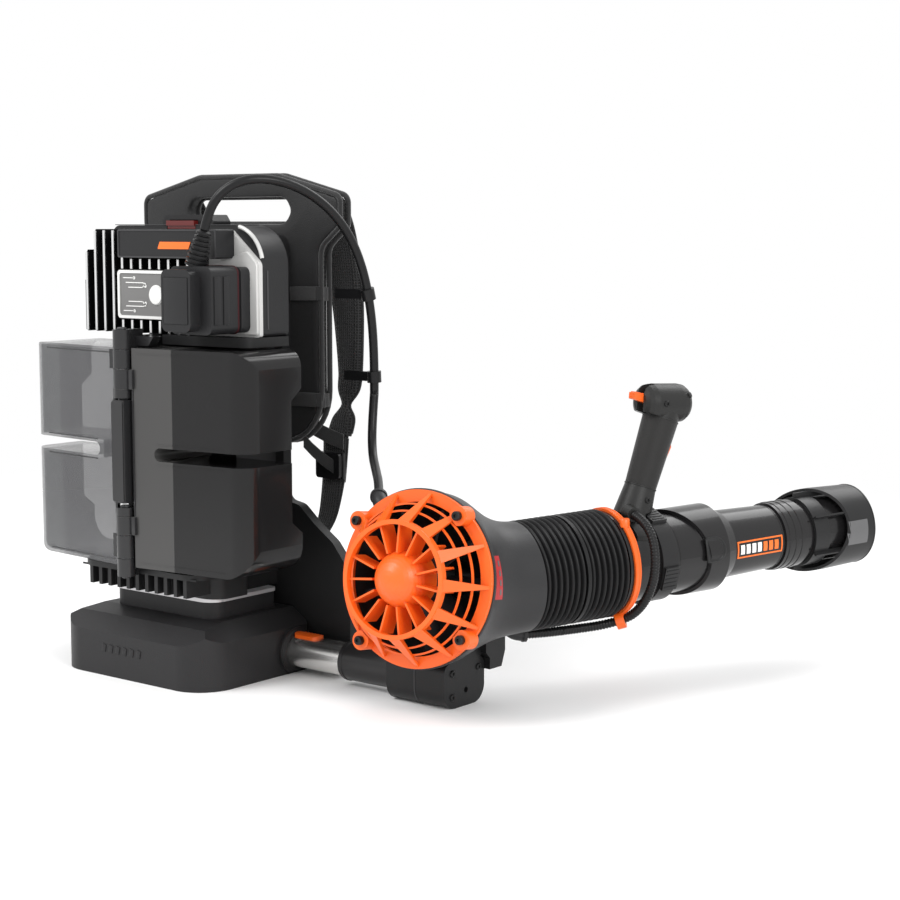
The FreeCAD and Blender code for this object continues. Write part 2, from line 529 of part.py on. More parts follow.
def wand_parts():
    middle = BELLOWS_L / 2
    save("bellows_rear", at_duct(bellows(0.2, middle - 2.2, 7)))
    save("bellows_ring", at_duct(tube_turned(DUCT_R + 3, DUCT_R - 4, middle - 2, middle + 2)))
    save("bellows_front", at_duct(bellows(middle + 2.2, BELLOWS_L - 0.2, 7)))
    y = REAR_L
    rear = turned([(47, y), (DUCT_R + 1, y), (DUCT_R + 1, y + 4), (50.5, y + 4),
                   (50.5, y + 15), (46, y + 20), (44, LOCK_L - 2), (44, LOCK_L + 24),
                   (41, LOCK_L + 24), (41, LOCK_L - 4), (43, y + 20), (47, y + 12)])
    save("rear_tube", at_duct(rear))
    ring = tube_turned(DUCT_R + 3.5, 50.55, y + 4.2, y + 11)
    start, end = V(*CONDUIT_ROUTE[-4]), V(*CONDUIT_ROUTE[-3])
    run = (end - start).normalize()
    eye = start + run * ((start.y - y - 7.6) / -run.y)
    hook = rod(eye - run * 4.5, run, 9, 9)
    hook = fused([hook, box(eye.x - 5, eye.x + 5, y + 4.2, y + 11, eye.z + 5, -48)])
    hook = hook.cut(rod(eye - run * 20, run, CONDUIT_D / 2 + 0.3, 40))
    hook = hook.cut(turned([(0, y), (50.55, y), (50.55, y + 20), (0, y + 20)]))
    save("hose_clamp", at_duct(fused([ring, hook])))
    lock = [tube_turned(47.5, 44.06, LOCK_L, LOCK_L + 20)]
    for i in range(4):
        tab = box(-13, 13, LOCK_L + 1, LOCK_L + 19, 44.5, 49.6)
        lock.append(tab.rotated(V(), Y, 20 + i * 90))
    hollow = turned([(0, 0), (44.06, 0), (44.06, 300), (0, 300)])
    save("lock_ring", at_duct(fused(lock).cut(hollow)))
    outer = turned([(38.4, SLEEVE_L), (43, SLEEVE_L), (42.2, STEP_L), (36.5, STEP_L + 16),
                    (34.5, COLLAR_L), (34.5, MOUTH_L), (31.5, MOUTH_L), (31.5, COLLAR_L),
                    (33.5, STEP_L + 16), (38.4, STEP_L - 2)])
    collar = tube_turned(36.8, 34, COLLAR_L, COLLAR_L + 32)
    save("wand_tube", at_duct(fused([outer, collar])))
    sleeve = tube_turned(46.5, 43.1, SLEEVE_L - 30, STEP_L - 0.5)
    clear = tube_turned(50, 43.0, 0, LOCK_L + 24.3)
    save("wand_sleeve", at_duct(sleeve.cut(oblique(186, 0.5, -0.1, 120)).cut(clear)))
    body = turned([(41.8, RIM_L - 40), (45, RIM_L - 40), (45.5, RIM_L + 20), (43.6, TIP_L),
                   (41.6, TIP_L), (42.4, RIM_L + 18)])
    ribs = []
    for i in range(6):
        rib = box(36.5, 43, RIM_L - 8, RIM_L + 52, -1, 1)
        ribs.append(rib.rotated(V(), Y, 30 + i * 60))
    core = tube_turned(38, 34.6, RIM_L - 8, RIM_L + 12)
    ring = fused([body] + ribs).cut(oblique(RIM_L + 8, 0.57, 0.16, 120))
    save("nozzle_ring", at_duct(fused([ring, core] + ribs)))


GRIP_LEAN, GRIP_L, GRIP_Y = 22.0, 74.0, 142.0


def handle_parts():
    lean = V(0, math.sin(math.radians(GRIP_LEAN)), math.cos(math.radians(GRIP_LEAN)))
    foot = V(0, GRIP_Y, 44)
    inside = turned([(0, 0), (46.3, 0), (46.3, 122), (44.2, LOCK_L - 1), (51.9, LOCK_L - 1), (51.9, 300),
                     (0, 300)])
    saddle = turned([(44, 122), (49, 122), (48.4, LOCK_L - 1.5), (44, LOCK_L - 1.5)])
    saddle = saddle.common(box(-38, 38, 0, 300, 20, 60))
    post = Part.makeCone(20, 16.5, 32, foot, lean)
    gland = rod(V(13, GRIP_Y - 14, 53), V(1, -0.1, -0.15), 7.6, 14)
    clamp = fused([saddle, post, gland]).cut(inside)
    clamp = max(clamp.Solids, key=lambda solid: solid.Volume)
    save("handle_clamp", at_duct(clamp))
    base = foot + lean * 32.1
    grip = Part.makeCone(16.5, 19, GRIP_L, base, lean)
    touch = base + lean * 34
    well = box(-4.3, 4.3, touch.y - 8, touch.y + 40, touch.z - 13, touch.z + 13)
    save("handle_grip", at_duct(grip.cut(well)))
    peak = base + lean * (GRIP_L + 0.1)
    head = turned([(0, 0), (11, 0), (16, 2.2), (18.8, 6), (20, 12), (20.5, 44), (19.6, 50),
                   (17, 54), (12, 56), (0, 56)])
    head = placed(head, peak + V(0, -25, 19), 0, -5.7)
    neck = rod(peak, lean, 18.5, 16)
    head = fused([head, neck])
    below = box(-60, 60, peak.y - 90, peak.y + 90, peak.z - 60, peak.z)
    below = below.rotated(peak, X, -GRIP_LEAN)
    slot = box(-5.3, 5.3, peak.y - 42, peak.y - 9.4, peak.z + 5, peak.z + 50)
    save("grip_head", at_duct(head.cut(below).cut(slot)))
    tail = V(0, peak.y - 15, peak.z + 20)
    lever = slab("yz", [(tail.y - 21, tail.z + 4), (tail.y - 20, tail.z + 11),
                        (tail.y + 1, tail.z + 5), (tail.y + 1, tail.z - 4)], -5, 5, 1)
    save("throttle_lever", at_duct(lever))
    trigger = slab("yz", [(touch.y + 0.5, touch.z - 12.6), (touch.y + 14, touch.z - 12.6),
                          (touch.y + 25, touch.z + 6), (touch.y + 25, touch.z + 12.6),
                          (touch.y + 0.5, touch.z + 12.6)], -4, 4, 1)
    save("trigger", at_duct(trigger))


# ---- cords --------------------------------------------------------------------------
CABLE_ROUTE = [(111.9, -42.6, 507.8), (124.2, -32.9, 519.4), (137, -18.5, 524.8),
               (150.5, 3.6, 523.2), (162.7, 31.4, 513.3), (171.7, 60.2, 493.7),
               (176.3, 85.3, 465.6), (177.6, 104.6, 428.3), (176.2, 117.5, 384.1),
               (174.3, 123.7, 336.6), (172, 126, 300)]
DROP_ROUTE = [(172, 126, 300), (172, 122, 266), (186, 106, 238), (212, 82, 224),
              (240, 54, 216), (262, 28, 205)]
CONDUIT_ROUTE = [(27, 126.5, 50.5), (39, 126, 48), (49.5, 126.5, 41.5), (56.5, 127.5, 31),
                 (59.5, 128, 17.5), (59.5, 128, 2), (56.5, 127, -14.5), (50, 124.5, -30),
                 (39.5, 121, -44.5), (26, 115.5, -55.5), (11, 96, -62.5), (3, 73, -64), (1, 51, -63.5)]
REAR_ROUTE = [(1, 50.4, -63.5), (-1, 26, -63), (-6, 2, -61)]


def cord_parts(relief_end, relief_lean):
    start = tuple(relief_end)
    ahead = tuple(relief_end + relief_lean * 19)
    save("cable_run", cord("cable_run", [start, ahead] + CABLE_ROUTE, CABLE_D))
    save("cable_drop", cord("cable_drop", DROP_ROUTE, CABLE_D))
    clips = []
    for centre, along in ((V(176.8, 111, 406), V(0, -0.28, 0.96)), (V(173, 124.8, 318), V(0, -0.06, 1))):
        ring = pipe(centre - along * 6, along, 7.6, CABLE_D / 2 + 0.15, 12)
        tie = box(133, 170, centre.y - 3, centre.y + 3, centre.z - 5, centre.z + 5)
        tie = tie.cut(rod(centre - along * 20, along, CABLE_D / 2 + 0.15, 40))
        clips.append(fused([ring, tie]))
    save("cable_clips", Part.makeCompound(clips))
    for name, route in (("conduit", CONDUIT_ROUTE), ("conduit_rear", REAR_ROUTE)):
        points = [tuple(duct_point(*p)) for p in route]
        save(name, cord(name, points, CONDUIT_D))


def main():
    os.makedirs("parts", exist_ok=True)
    base_parts()
    frame_parts()
    spine_parts()
    bay_parts()
    hub_parts()
    relief_end, relief_lean = plug_parts()
    harness_parts()
    arm_parts()
    fan_parts()
    wand_parts()
    handle_parts()
    cord_parts(relief_end, relief_lean)


main()
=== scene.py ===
import math

import bmesh
import bpy
import numpy as np
from mathutils import Matrix, Quaternion, Vector
from mathutils.bvhtree import BVHTree


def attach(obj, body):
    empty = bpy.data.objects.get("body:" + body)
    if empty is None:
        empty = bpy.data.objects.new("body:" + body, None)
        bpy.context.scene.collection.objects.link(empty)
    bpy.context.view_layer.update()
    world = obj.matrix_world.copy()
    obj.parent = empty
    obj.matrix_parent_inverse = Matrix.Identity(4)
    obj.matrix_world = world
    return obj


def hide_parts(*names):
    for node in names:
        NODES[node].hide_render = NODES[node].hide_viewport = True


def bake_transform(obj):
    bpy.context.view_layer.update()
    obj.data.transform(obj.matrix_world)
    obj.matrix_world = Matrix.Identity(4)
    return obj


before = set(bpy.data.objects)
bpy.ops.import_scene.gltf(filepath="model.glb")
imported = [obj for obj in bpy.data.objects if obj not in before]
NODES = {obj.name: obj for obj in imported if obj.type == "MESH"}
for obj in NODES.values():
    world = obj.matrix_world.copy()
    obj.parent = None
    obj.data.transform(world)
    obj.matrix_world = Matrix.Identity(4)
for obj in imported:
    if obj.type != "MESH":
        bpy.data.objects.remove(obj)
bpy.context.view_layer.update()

MM = 0.001
X, Y, Z = Vector((1, 0, 0)), Vector((0, 1, 0)), Vector((0, 0, 1))

# ---- places shared with the part, in metres -----------------------------------
FAN_POS = Vector((0.3354, 0, 0.137))
FAN_TURN = Quaternion(Z, math.radians(5)) @ Quaternion(X, math.radians(-8))
DUCT_POS = Vector((0.374, 0.110, 0.1277))
DUCT_TURN = Quaternion(Z, math.radians(-21.5)) @ Quaternion(X, math.radians(2.6))
HOSE_R, HOSE_LENGTH, HOSE_RIBS = 0.0535, 0.102, 14
FLANGE_R, FLANGE_EARS = 0.083, (38, 128, 218, 308)


def at_fan(point):
    return FAN_POS + FAN_TURN @ Vector(point)


def at_duct(point):
    return DUCT_POS + DUCT_TURN @ Vector(point)


def duct_mm(x, y, z):
    return at_duct(Vector((x, y, z)) * MM)


# ---- materials ---------------------------------------------------------------
DARK_SHADE, DARK_SPECULAR = 0.06, 0.26


def set_values(node, **values):
    """Sets a node's plain values by the names of its sockets."""
    for name, value in values.items():
        node.inputs[name.replace("_", " ")].default_value = value


def linked(tree, kind, **values):
    """A shader node with its plain values set."""
    node = tree.nodes.new(kind)
    set_values(node, **values)
    return node


def fresh_material(name, **values):
    """A material with its tree and its principled shader."""
    made = bpy.data.materials.new(name)
    made.use_nodes = True
    shader = made.node_tree.nodes["Principled BSDF"]
    set_values(shader, **values)
    return made, made.node_tree, shader


def tinted(tree, shader, colour, factor):
    """Base colour scaled by a value that changes over the surface."""
    tint = tree.nodes.new("ShaderNodeVectorMath")
    tint.operation = "SCALE"
    tint.inputs[0].default_value = colour
    tree.links.new(factor, tint.inputs["Scale"])
    tree.links.new(tint.outputs["Vector"], shader.inputs["Base Color"])


def bumped(tree, shader, height, strength, depth):
    """Surface relief from a value that changes over the surface."""
    bump = linked(tree, "ShaderNodeBump", Strength=strength, Distance=depth)
    tree.links.new(height, bump.inputs["Height"])
    tree.links.new(bump.outputs["Normal"], shader.inputs["Normal"])


def finish(name, colour, rough, metal=0.0, grain=0.0, grain_size=900.0, mottle=0.0,
           mottle_size=30.0, **extra):
    """Principled finish with a fine surface grain and a slow change of shade and gloss."""
    made, tree, shader = fresh_material(name, Roughness=rough, Metallic=metal, Base_Color=(*colour, 1))
    if max(colour) < DARK_SHADE:
        set_values(shader, Specular_IOR_Level=DARK_SPECULAR)
    set_values(shader, **extra)
    where = tree.nodes.new("ShaderNodeTexCoord")
    if mottle:
        slow = linked(tree, "ShaderNodeTexNoise", Scale=mottle_size, Detail=4.0)
        tree.links.new(where.outputs["Object"], slow.inputs["Vector"])
        shade = linked(tree, "ShaderNodeMapRange", To_Min=1 - mottle, To_Max=1 + mottle)
        tree.links.new(slow.outputs["Fac"], shade.inputs["Value"])
        tinted(tree, shader, colour, shade.outputs["Result"])
        gloss = linked(tree, "ShaderNodeMapRange", To_Min=rough - mottle / 3, To_Max=rough + mottle / 3)
        tree.links.new(slow.outputs["Fac"], gloss.inputs["Value"])
        tree.links.new(gloss.outputs["Result"], shader.inputs["Roughness"])
    if grain:
        fine = linked(tree, "ShaderNodeTexNoise", Scale=grain_size, Detail=3.0)
        tree.links.new(where.outputs["Object"], fine.inputs["Vector"])
        bumped(tree, shader, fine.outputs["Fac"], grain, 0.0004)
    return made


def woven(name, colour, rough, threads, strength, holes=None):
    """Cloth finish: two crossed sets of threads, with darker holes between them where asked."""
    made = finish(name, colour, rough, mottle=0.14, mottle_size=60, Sheen_Weight=0.3)
    tree = made.node_tree
    shader = tree.nodes["Principled BSDF"]
    where = tree.nodes.new("ShaderNodeTexCoord")
    waves = []
    for axis in ("X", "Z"):
        wave = linked(tree, "ShaderNodeTexWave", Scale=threads)
        wave.bands_direction = axis
        tree.links.new(where.outputs["Object"], wave.inputs["Vector"])
        waves.append(wave)
    cross = tree.nodes.new("ShaderNodeMath")
    cross.operation = "MAXIMUM"
    tree.links.new(waves[0].outputs["Fac"], cross.inputs[0])
    tree.links.new(waves[1].outputs["Fac"], cross.inputs[1])
    if holes is not None:
        shade = linked(tree, "ShaderNodeMapRange", From_Min=0.55, To_Min=holes)
        tree.links.new(cross.outputs["Value"], shade.inputs["Value"])
        tinted(tree, shader, colour, shade.outputs["Result"])
    bumped(tree, shader, cross.outputs["Value"], strength, 0.0006)
    return made


def pebbled(name, colour, rough, size, depth):
    """Leather-look cloth: rounded pebbles with creases between them."""
    made = finish(name, colour, rough, mottle=0.1, mottle_size=40, Sheen_Weight=0.12)
    tree = made.node_tree
    where = tree.nodes.new("ShaderNodeTexCoord")
    cells = linked(tree, "ShaderNodeTexVoronoi", Scale=size)
    cells.feature = "DISTANCE_TO_EDGE"
    tree.links.new(where.outputs["Object"], cells.inputs["Vector"])
    bumped(tree, tree.nodes["Principled BSDF"], cells.outputs["Distance"], 0.6, depth)
    return made


def floor_finish():
    """Pale studio floor that fades out with distance."""
    made, tree, shader = fresh_material("studio_floor", Base_Color=(0.92, 0.92, 0.92, 1), Roughness=0.9,
                                        Specular_IOR_Level=0.1)
    where = tree.nodes.new("ShaderNodeTexCoord")
    reach = tree.nodes.new("ShaderNodeVectorMath")
    reach.operation = "LENGTH"
    tree.links.new(where.outputs["Object"], reach.inputs[0])
    fade = linked(tree, "ShaderNodeMapRange", From_Min=0.75, From_Max=1.7, To_Min=1.0, To_Max=0.0)
    tree.links.new(reach.outputs["Value"], fade.inputs["Value"])
    tree.links.new(fade.outputs["Result"], shader.inputs["Alpha"])
    return made


def door_finish(name, clear, band, edge, alpha):
    """Smoky see-through moulding: band is its colour below X = edge and clear above, each with its alpha."""
    made, tree, shader = fresh_material(name, Roughness=0.16, Specular_IOR_Level=0.22, Coat_Weight=0.15,
                                        Coat_Roughness=0.08)
    where = tree.nodes.new("ShaderNodeTexCoord")
    split = tree.nodes.new("ShaderNodeSeparateXYZ")
    tree.links.new(where.outputs["Object"], split.inputs["Vector"])
    step = linked(tree, "ShaderNodeMapRange", From_Min=edge - 0.0006, From_Max=edge + 0.0006)
    tree.links.new(split.outputs["X"], step.inputs["Value"])
    tint = tree.nodes.new("ShaderNodeMix")
    tint.data_type = "RGBA"
    tint.inputs["A"].default_value = (*band, 1)
    tint.inputs["B"].default_value = (*clear, 1)
    tree.links.new(step.outputs["Result"], tint.inputs["Factor"])
    tree.links.new(tint.outputs["Result"], shader.inputs["Base Color"])
    see = linked(tree, "ShaderNodeMapRange", To_Min=alpha[0], To_Max=alpha[1])
    tree.links.new(step.outputs["Result"], see.inputs["Value"])
    tree.links.new(see.outputs["Result"], shader.inputs["Alpha"])
    return made


FINISH = {
    "base": finish("base_moulding", (0.020, 0.0195, 0.0205), 0.46, grain=0.5, mottle=0.08),
    "frame": finish("frame_moulding", (0.012, 0.012, 0.0125), 0.5, grain=0.4, mottle=0.08),
    "trim": finish("silver_trim", (0.60, 0.59, 0.60), 0.34, metal=0.5, grain=0.1),
    "comb": finish("vent_moulding", (0.016, 0.016, 0.0165), 0.4, grain=0.3, mottle=0.06),
    "spine": finish("spine_gloss", (0.020, 0.020, 0.021), 0.24, mottle=0.05, Coat_Weight=0.3),
    "hub": finish("hub_moulding", (0.017, 0.017, 0.018), 0.36, grain=0.35, mottle=0.06),
    "seal": finish("plug_seal", (0.045, 0.006, 0.008), 0.5),
    "hub_silver": finish("hub_silver", (0.60, 0.597, 0.585), 0.36, metal=0.1, grain=0.1),
    "fin": finish("fin_black", (0.007, 0.007, 0.0075), 0.38, metal=0.3, mottle=0.05),
    "fin_edge": finish("fin_bright_edge", (0.78, 0.78, 0.78), 0.26, metal=0.9),
    "panel": finish("panel_print", (0.17, 0.168, 0.165), 0.4),
    "white": finish("white_print", (0.82, 0.82, 0.80), 0.4),
    "mark": finish("dark_print", (0.05, 0.05, 0.052), 0.35),
    "red": finish("latch_red", (0.13, 0.008, 0.007), 0.34, Coat_Weight=0.2),
    "orange": finish("orange_moulding", (0.86, 0.125, 0.010), 0.36, grain=0.3, mottle=0.03),
    "orange_print": finish("orange_print", (0.90, 0.17, 0.016), 0.45),
    "battery": finish("battery_moulding", (0.010, 0.010, 0.0105), 0.42, grain=0.3, mottle=0.08),
    "steel": finish("screw_steel", (0.50, 0.50, 0.51), 0.3, metal=1.0, mottle=0.1),
    "black_screw": finish("black_screw", (0.03, 0.03, 0.03), 0.34, metal=0.7),
    "alu": finish("satin_aluminium", (0.80, 0.79, 0.77), 0.27, metal=1.0, grain=0.15,
                  grain_size=1500, mottle=0.05, mottle_size=14),
    "sleeve": finish("sleeve_black", (0.016, 0.015, 0.0155), 0.28, grain=0.15, Coat_Weight=0.2),
    "block": finish("block_black", (0.011, 0.011, 0.0115), 0.34, grain=0.3, mottle=0.08),
    "housing": finish("housing_grey", (0.026, 0.026, 0.027), 0.4, grain=0.4, mottle=0.06),
    "tube": finish("tube_black", (0.0105, 0.010, 0.0105), 0.26, grain=0.12, mottle=0.05,
                   Coat_Weight=0.25),
    "tube_grey": finish("tube_dark_grey", (0.017, 0.017, 0.0175), 0.36, grain=0.3, mottle=0.06),
    "hose": finish("hose_rubber", (0.0085, 0.0085, 0.009), 0.42, mottle=0.1),
    "rotor": finish("rotor_plastic", (0.012, 0.012, 0.013), 0.36, mottle=0.05),
    "grip": pebbled("grip_rubber", (0.015, 0.0145, 0.014), 0.55, 700, 0.0004),
    "handle": finish("handle_moulding", (0.019, 0.019, 0.0185), 0.4, grain=0.45, mottle=0.06),
    "cable": finish("cable_rubber", (0.008, 0.008, 0.0085), 0.34, mottle=0.08),
    "conduit": finish("conduit_plastic", (0.009, 0.009, 0.0095), 0.3, mottle=0.06),
    "pad": pebbled("pad_leather_look", (0.013, 0.013, 0.0135), 0.5, 520, 0.0005),
    "piping": woven("pad_piping", (0.011, 0.011, 0.0115), 0.55, 900, 0.3),
    "mesh": woven("strap_air_mesh", (0.034, 0.034, 0.035), 0.8, 105, 0.9, holes=0.12),
    "webbing": woven("nylon_webbing", (0.010, 0.010, 0.0105), 0.6, 420, 0.7),
    "thread": finish("seam_thread", (0.050, 0.049, 0.047), 0.7),
    "buckle": finish("buckle_plastic", (0.008, 0.008, 0.0085), 0.3, mottle=0.06),
    "warning": finish("warning_print", (0.42, 0.018, 0.022), 0.42),
    "label": finish("label_grey", (0.11, 0.11, 0.112), 0.35),
    "floor": floor_finish(),
}
FINISH["door_right"] = door_finish("smoky_door_banded", (0.012, 0.0117, 0.012), (0.062, 0.061, 0.060),
                                   0.067, (0.97, 0.94))
FINISH["door_left"] = door_finish("smoky_door_clear", (0.085, 0.085, 0.09), (0.10, 0.102, 0.106),
                                  -0.112, (0.50, 0.62))

NODE_FINISH = {
    "base": ["base_housing", "base_plate"],
    "trim": ["neck_trim"],
    "comb": ["vent_comb"],
    "frame": ["frame_plate", "backbone", "hub_shelf"],
    "spine": ["spine_column", "spine_cover"],
    "steel": ["hinge_pins", "swivel_pin"],
    "battery": ["battery_lower", "battery_upper", "bay_terminals"],
    "hub": ["hub_body", "badge_plate", "latch_cap", "plug_seat", "power_plug"],
    "hub_silver": ["hub_frame"],
    "fin": ["heat_sink"],
    "panel": ["status_panel"],
    "red": ["hub_latch"],
    "orange": ["intake_grille", "hose_clamp", "arm_button", "throttle_lever", "trigger"],
    "alu": ["arm_tube"],
    "sleeve": ["arm_sleeve"],
    "block": ["swivel_block", "fan_saddle"],
    "housing": ["fan_housing"],
    "rotor": ["fan_rotor", "motor_pod"],
    "tube": ["rear_tube", "wand_tube", "wand_sleeve"],
    "tube_grey": ["lock_ring", "nozzle_ring"],
    "hose": ["bellows_ring"],
    "handle": ["handle_clamp", "grip_head"],
    "grip": ["handle_grip"],
    "buckle": ["buckles", "cable_clips"],
    "black_screw": ["grille_screws"],
    "door_right": ["door_right"],
    "door_left": ["door_left"],
}


def paint_cad():
    for name, nodes in NODE_FINISH.items():
        for node in nodes:
            mesh = NODES[node].data
            mesh.materials.clear()
            mesh.materials.append(FINISH[name])


# ---- mesh helpers ---------------------------------------------------------------
def side_name(side):
    """The wearer's side of a paired piece; +1 is the right."""
    return "right" if side > 0 else "left"


def placed(name, data):
    """A new object in the scene."""
    obj = bpy.data.objects.new(name, data)
    bpy.context.collection.objects.link(obj)
    return obj


def evaluated_mesh(obj):
    """Plain mesh of an object as its modifiers leave it."""
    bpy.context.view_layer.update()
    depsgraph = bpy.context.evaluated_depsgraph_get()
    return bpy.data.meshes.new_from_object(obj.evaluated_get(depsgraph), depsgraph=depsgraph)


def piece(name, mesh, body, finish_name, smooth=40):
    """Puts a finished mesh in the scene on its body, with its finish."""
    obj = placed(name, mesh)
    if not mesh.materials:
        mesh.materials.append(FINISH[finish_name])
    mesh.shade_smooth()
    if smooth:
        mesh.set_sharp_from_angle(angle=math.radians(smooth))
    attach(obj, body)
    return obj


def as_mesh(build, name):
    """Mesh from a bmesh made by the build function, with its doubles merged and faces out."""
    shape = bmesh.new()
    build(shape)
    bmesh.ops.remove_doubles(shape, verts=shape.verts, dist=1e-6)
    bmesh.ops.recalc_face_normals(shape, faces=shape.faces)
    mesh = bpy.data.meshes.new(name)
    shape.to_mesh(mesh)
    shape.free()
    return mesh


def add_box(shape, low, high, bevel=0.0, turn=None, centre=None):
    """Box between two corners, with soft edges; turn is about centre."""
    low, high = Vector(low), Vector(high)
    made = bmesh.ops.create_cube(shape, size=1)["verts"]
    size = high - low
    middle = (low + high) / 2
    for vert in made:
        vert.co = Vector((vert.co.x * size.x, vert.co.y * size.y, vert.co.z * size.z)) + middle
    if bevel:
        edges = {e for v in made for e in v.link_edges}
        out = bmesh.ops.bevel(shape, geom=list(edges), offset=bevel, segments=2, affect="EDGES",
                              profile=0.6)
        made = list({v for f in out["faces"] for v in f.verts} | {v for v in made if v.is_valid})
    if turn is not None:
        pivot = middle if centre is None else Vector(centre)
        for vert in made:
            vert.co = turn @ (vert.co - pivot) + pivot
    return made


def add_loft(shape, rings, closed=False):
    """Skin through rings of points that have the same count, with caps unless it closes on itself."""
    rows = [[shape.verts.new(point) for point in ring] for ring in rings]
    count = len(rings[0])
    pairs = list(zip(rows, rows[1:])) + ([(rows[-1], rows[0])] if closed else [])
    for a, b in pairs:
        for i in range(count):
            j = (i + 1) % count
            shape.faces.new((a[i], a[j], b[j], b[i]))
    if not closed:
        shape.faces.new(rows[0][::-1])
        shape.faces.new(rows[-1])


def circle(radius, along, count, place):
    """Ring of points round the local Y axis, put in place by a function."""
    return [place(Vector((radius * math.cos(2 * math.pi * i / count), along,
                          radius * math.sin(2 * math.pi * i / count)))) for i in range(count)]


def add_turned(shape, profile, place, count=64, closed=False):
    """Shape turned about the local Y axis from (radius, y) points."""
    add_loft(shape, [circle(max(r, 1e-5), y, count, place) for r, y in profile], closed)


def rounded_outline(points, radii, steps=6):
    """Outline with round corners; points are 2-D, radii one per corner."""
    out = []
    count = len(points)
    for i, corner in enumerate(points):
        corner = Vector(corner)
        back = (Vector(points[i - 1]) - corner)
        ahead = (Vector(points[(i + 1) % count]) - corner)
        radius = radii[i] if isinstance(radii, (list, tuple)) else radii
        half = back.angle(ahead) / 2
        if radius <= 0 or half > math.pi / 2 - 1e-3:
            out.append(corner)
            continue
        reach = min(radius / math.tan(half), 0.49 * back.length, 0.49 * ahead.length)
        radius = reach * math.tan(half)
        a, b = corner + back.normalized() * reach, corner + ahead.normalized() * reach
        centre = corner + (back.normalized() + ahead.normalized()).normalized() * (
            radius / math.sin(half))
        start, sweep = a - centre, (a - centre).angle_signed(b - centre)
        for k in range(steps + 1):
            turn = Matrix.Rotation(-sweep * k / steps, 2)
            out.append(centre + turn @ start)
    return out


def rectangle(left, right, low, high, radius, steps=6):
    """Outline of a rectangle with round corners."""
    return rounded_outline([(left, low), (right, low), (right, high), (left, high)], radius, steps)


def at_depth(outline, depth):
    """An (x, z) outline as points at one depth along Y."""
    return [Vector((p.x, depth, p.y)) for p in outline]


def add_plate(shape, outline, low, high, bevel=0.0):
    """Flat plate of an (x, z) outline between two depths, its far face smaller by the bevel."""
    rings = [at_depth(outline, low), at_depth(outline, high)]
    if bevel:
        middle = sum((Vector(p) for p in outline), Vector((0, 0))) / len(outline)
        inner = [p + (middle - p).normalized() * bevel for p in outline]
        side = bevel if high > low else -bevel
        rings = [rings[0], at_depth(outline, high - side), at_depth(inner, high)]
    add_loft(shape, rings)


def add_border(shape, steps):
    """Closed band through (outline, depth) steps."""
    add_loft(shape, [at_depth(outline, depth) for outline, depth in steps], True)


# ---- repeats by geometry nodes ------------------------------------------------------
def fresh_tree(name, inputs):
    tree = bpy.data.node_groups.new(name, "GeometryNodeTree")
    tree.interface.new_socket("Geometry", in_out="INPUT", socket_type="NodeSocketGeometry")
    tree.interface.new_socket("Geometry", in_out="OUTPUT", socket_type="NodeSocketGeometry")
    for label, kind in inputs:
        tree.interface.new_socket(label, in_out="INPUT", socket_type=f"NodeSocket{kind}")
    start = tree.nodes.new("NodeGroupInput")
    return tree, start, tree.nodes.new("NodeGroupOutput")


def closing(tree, geometry, end, start):
    """Ends a tree with Realize Instances and Set Material."""
    real = tree.nodes.new("GeometryNodeRealizeInstances")
    dress = tree.nodes.new("GeometryNodeSetMaterial")
    tree.links.new(geometry, real.inputs["Geometry"])
    tree.links.new(real.outputs["Geometry"], dress.inputs["Geometry"])
    tree.links.new(start.outputs["Finish"], dress.inputs["Material"])
    tree.links.new(dress.outputs["Geometry"], end.inputs[0])


def spots_tree():
    """Puts a copy of one piece on each point of the host, aimed by its 'aim' and 'up' vectors."""
    tree, start, end = fresh_tree("copies_on_spots", [("Piece", "Object"), ("Size", "Float"),
                                                      ("Finish", "Material")])
    info = tree.nodes.new("GeometryNodeObjectInfo")
    tree.links.new(start.outputs["Piece"], info.inputs["Object"])
    turns = []
    for label in ("aim", "up"):
        read = tree.nodes.new("GeometryNodeInputNamedAttribute")
        read.data_type = "FLOAT_VECTOR"
        read.inputs["Name"].default_value = label
        turns.append(read)
    axes = tree.nodes.new("FunctionNodeAxesToRotation")
    axes.primary_axis, axes.secondary_axis = "Z", "X"
    tree.links.new(turns[0].outputs["Attribute"], axes.inputs["Primary Axis"])
    tree.links.new(turns[1].outputs["Attribute"], axes.inputs["Secondary Axis"])
    place = tree.nodes.new("GeometryNodeInstanceOnPoints")
    tree.links.new(start.outputs["Geometry"], place.inputs["Points"])
    tree.links.new(info.outputs["Geometry"], place.inputs["Instance"])
    tree.links.new(axes.outputs["Rotation"], place.inputs["Rotation"])
    tree.links.new(start.outputs["Size"], place.inputs["Scale"])
    closing(tree, place.outputs["Instances"], end, start)
    return tree


def path_tree():
    """Puts a copy of one piece at even steps along the host's curve, its Z along the curve."""
    tree, start, end = fresh_tree("copies_on_path", [("Piece", "Object"), ("Step", "Float"),
                                                     ("Finish", "Material")])
    info = tree.nodes.new("GeometryNodeObjectInfo")
    tree.links.new(start.outputs["Piece"], info.inputs["Object"])
    points = tree.nodes.new("GeometryNodeCurveToPoints")
    points.mode = "LENGTH"
    tree.links.new(start.outputs["Geometry"], points.inputs["Curve"])
    tree.links.new(start.outputs["Step"], points.inputs["Length"])
    place = tree.nodes.new("GeometryNodeInstanceOnPoints")
    tree.links.new(points.outputs["Points"], place.inputs["Points"])
    tree.links.new(points.outputs["Rotation"], place.inputs["Rotation"])
    tree.links.new(info.outputs["Geometry"], place.inputs["Instance"])
    closing(tree, place.outputs["Instances"], end, start)
    return tree


TREES = {"spots": spots_tree(), "path": path_tree()}


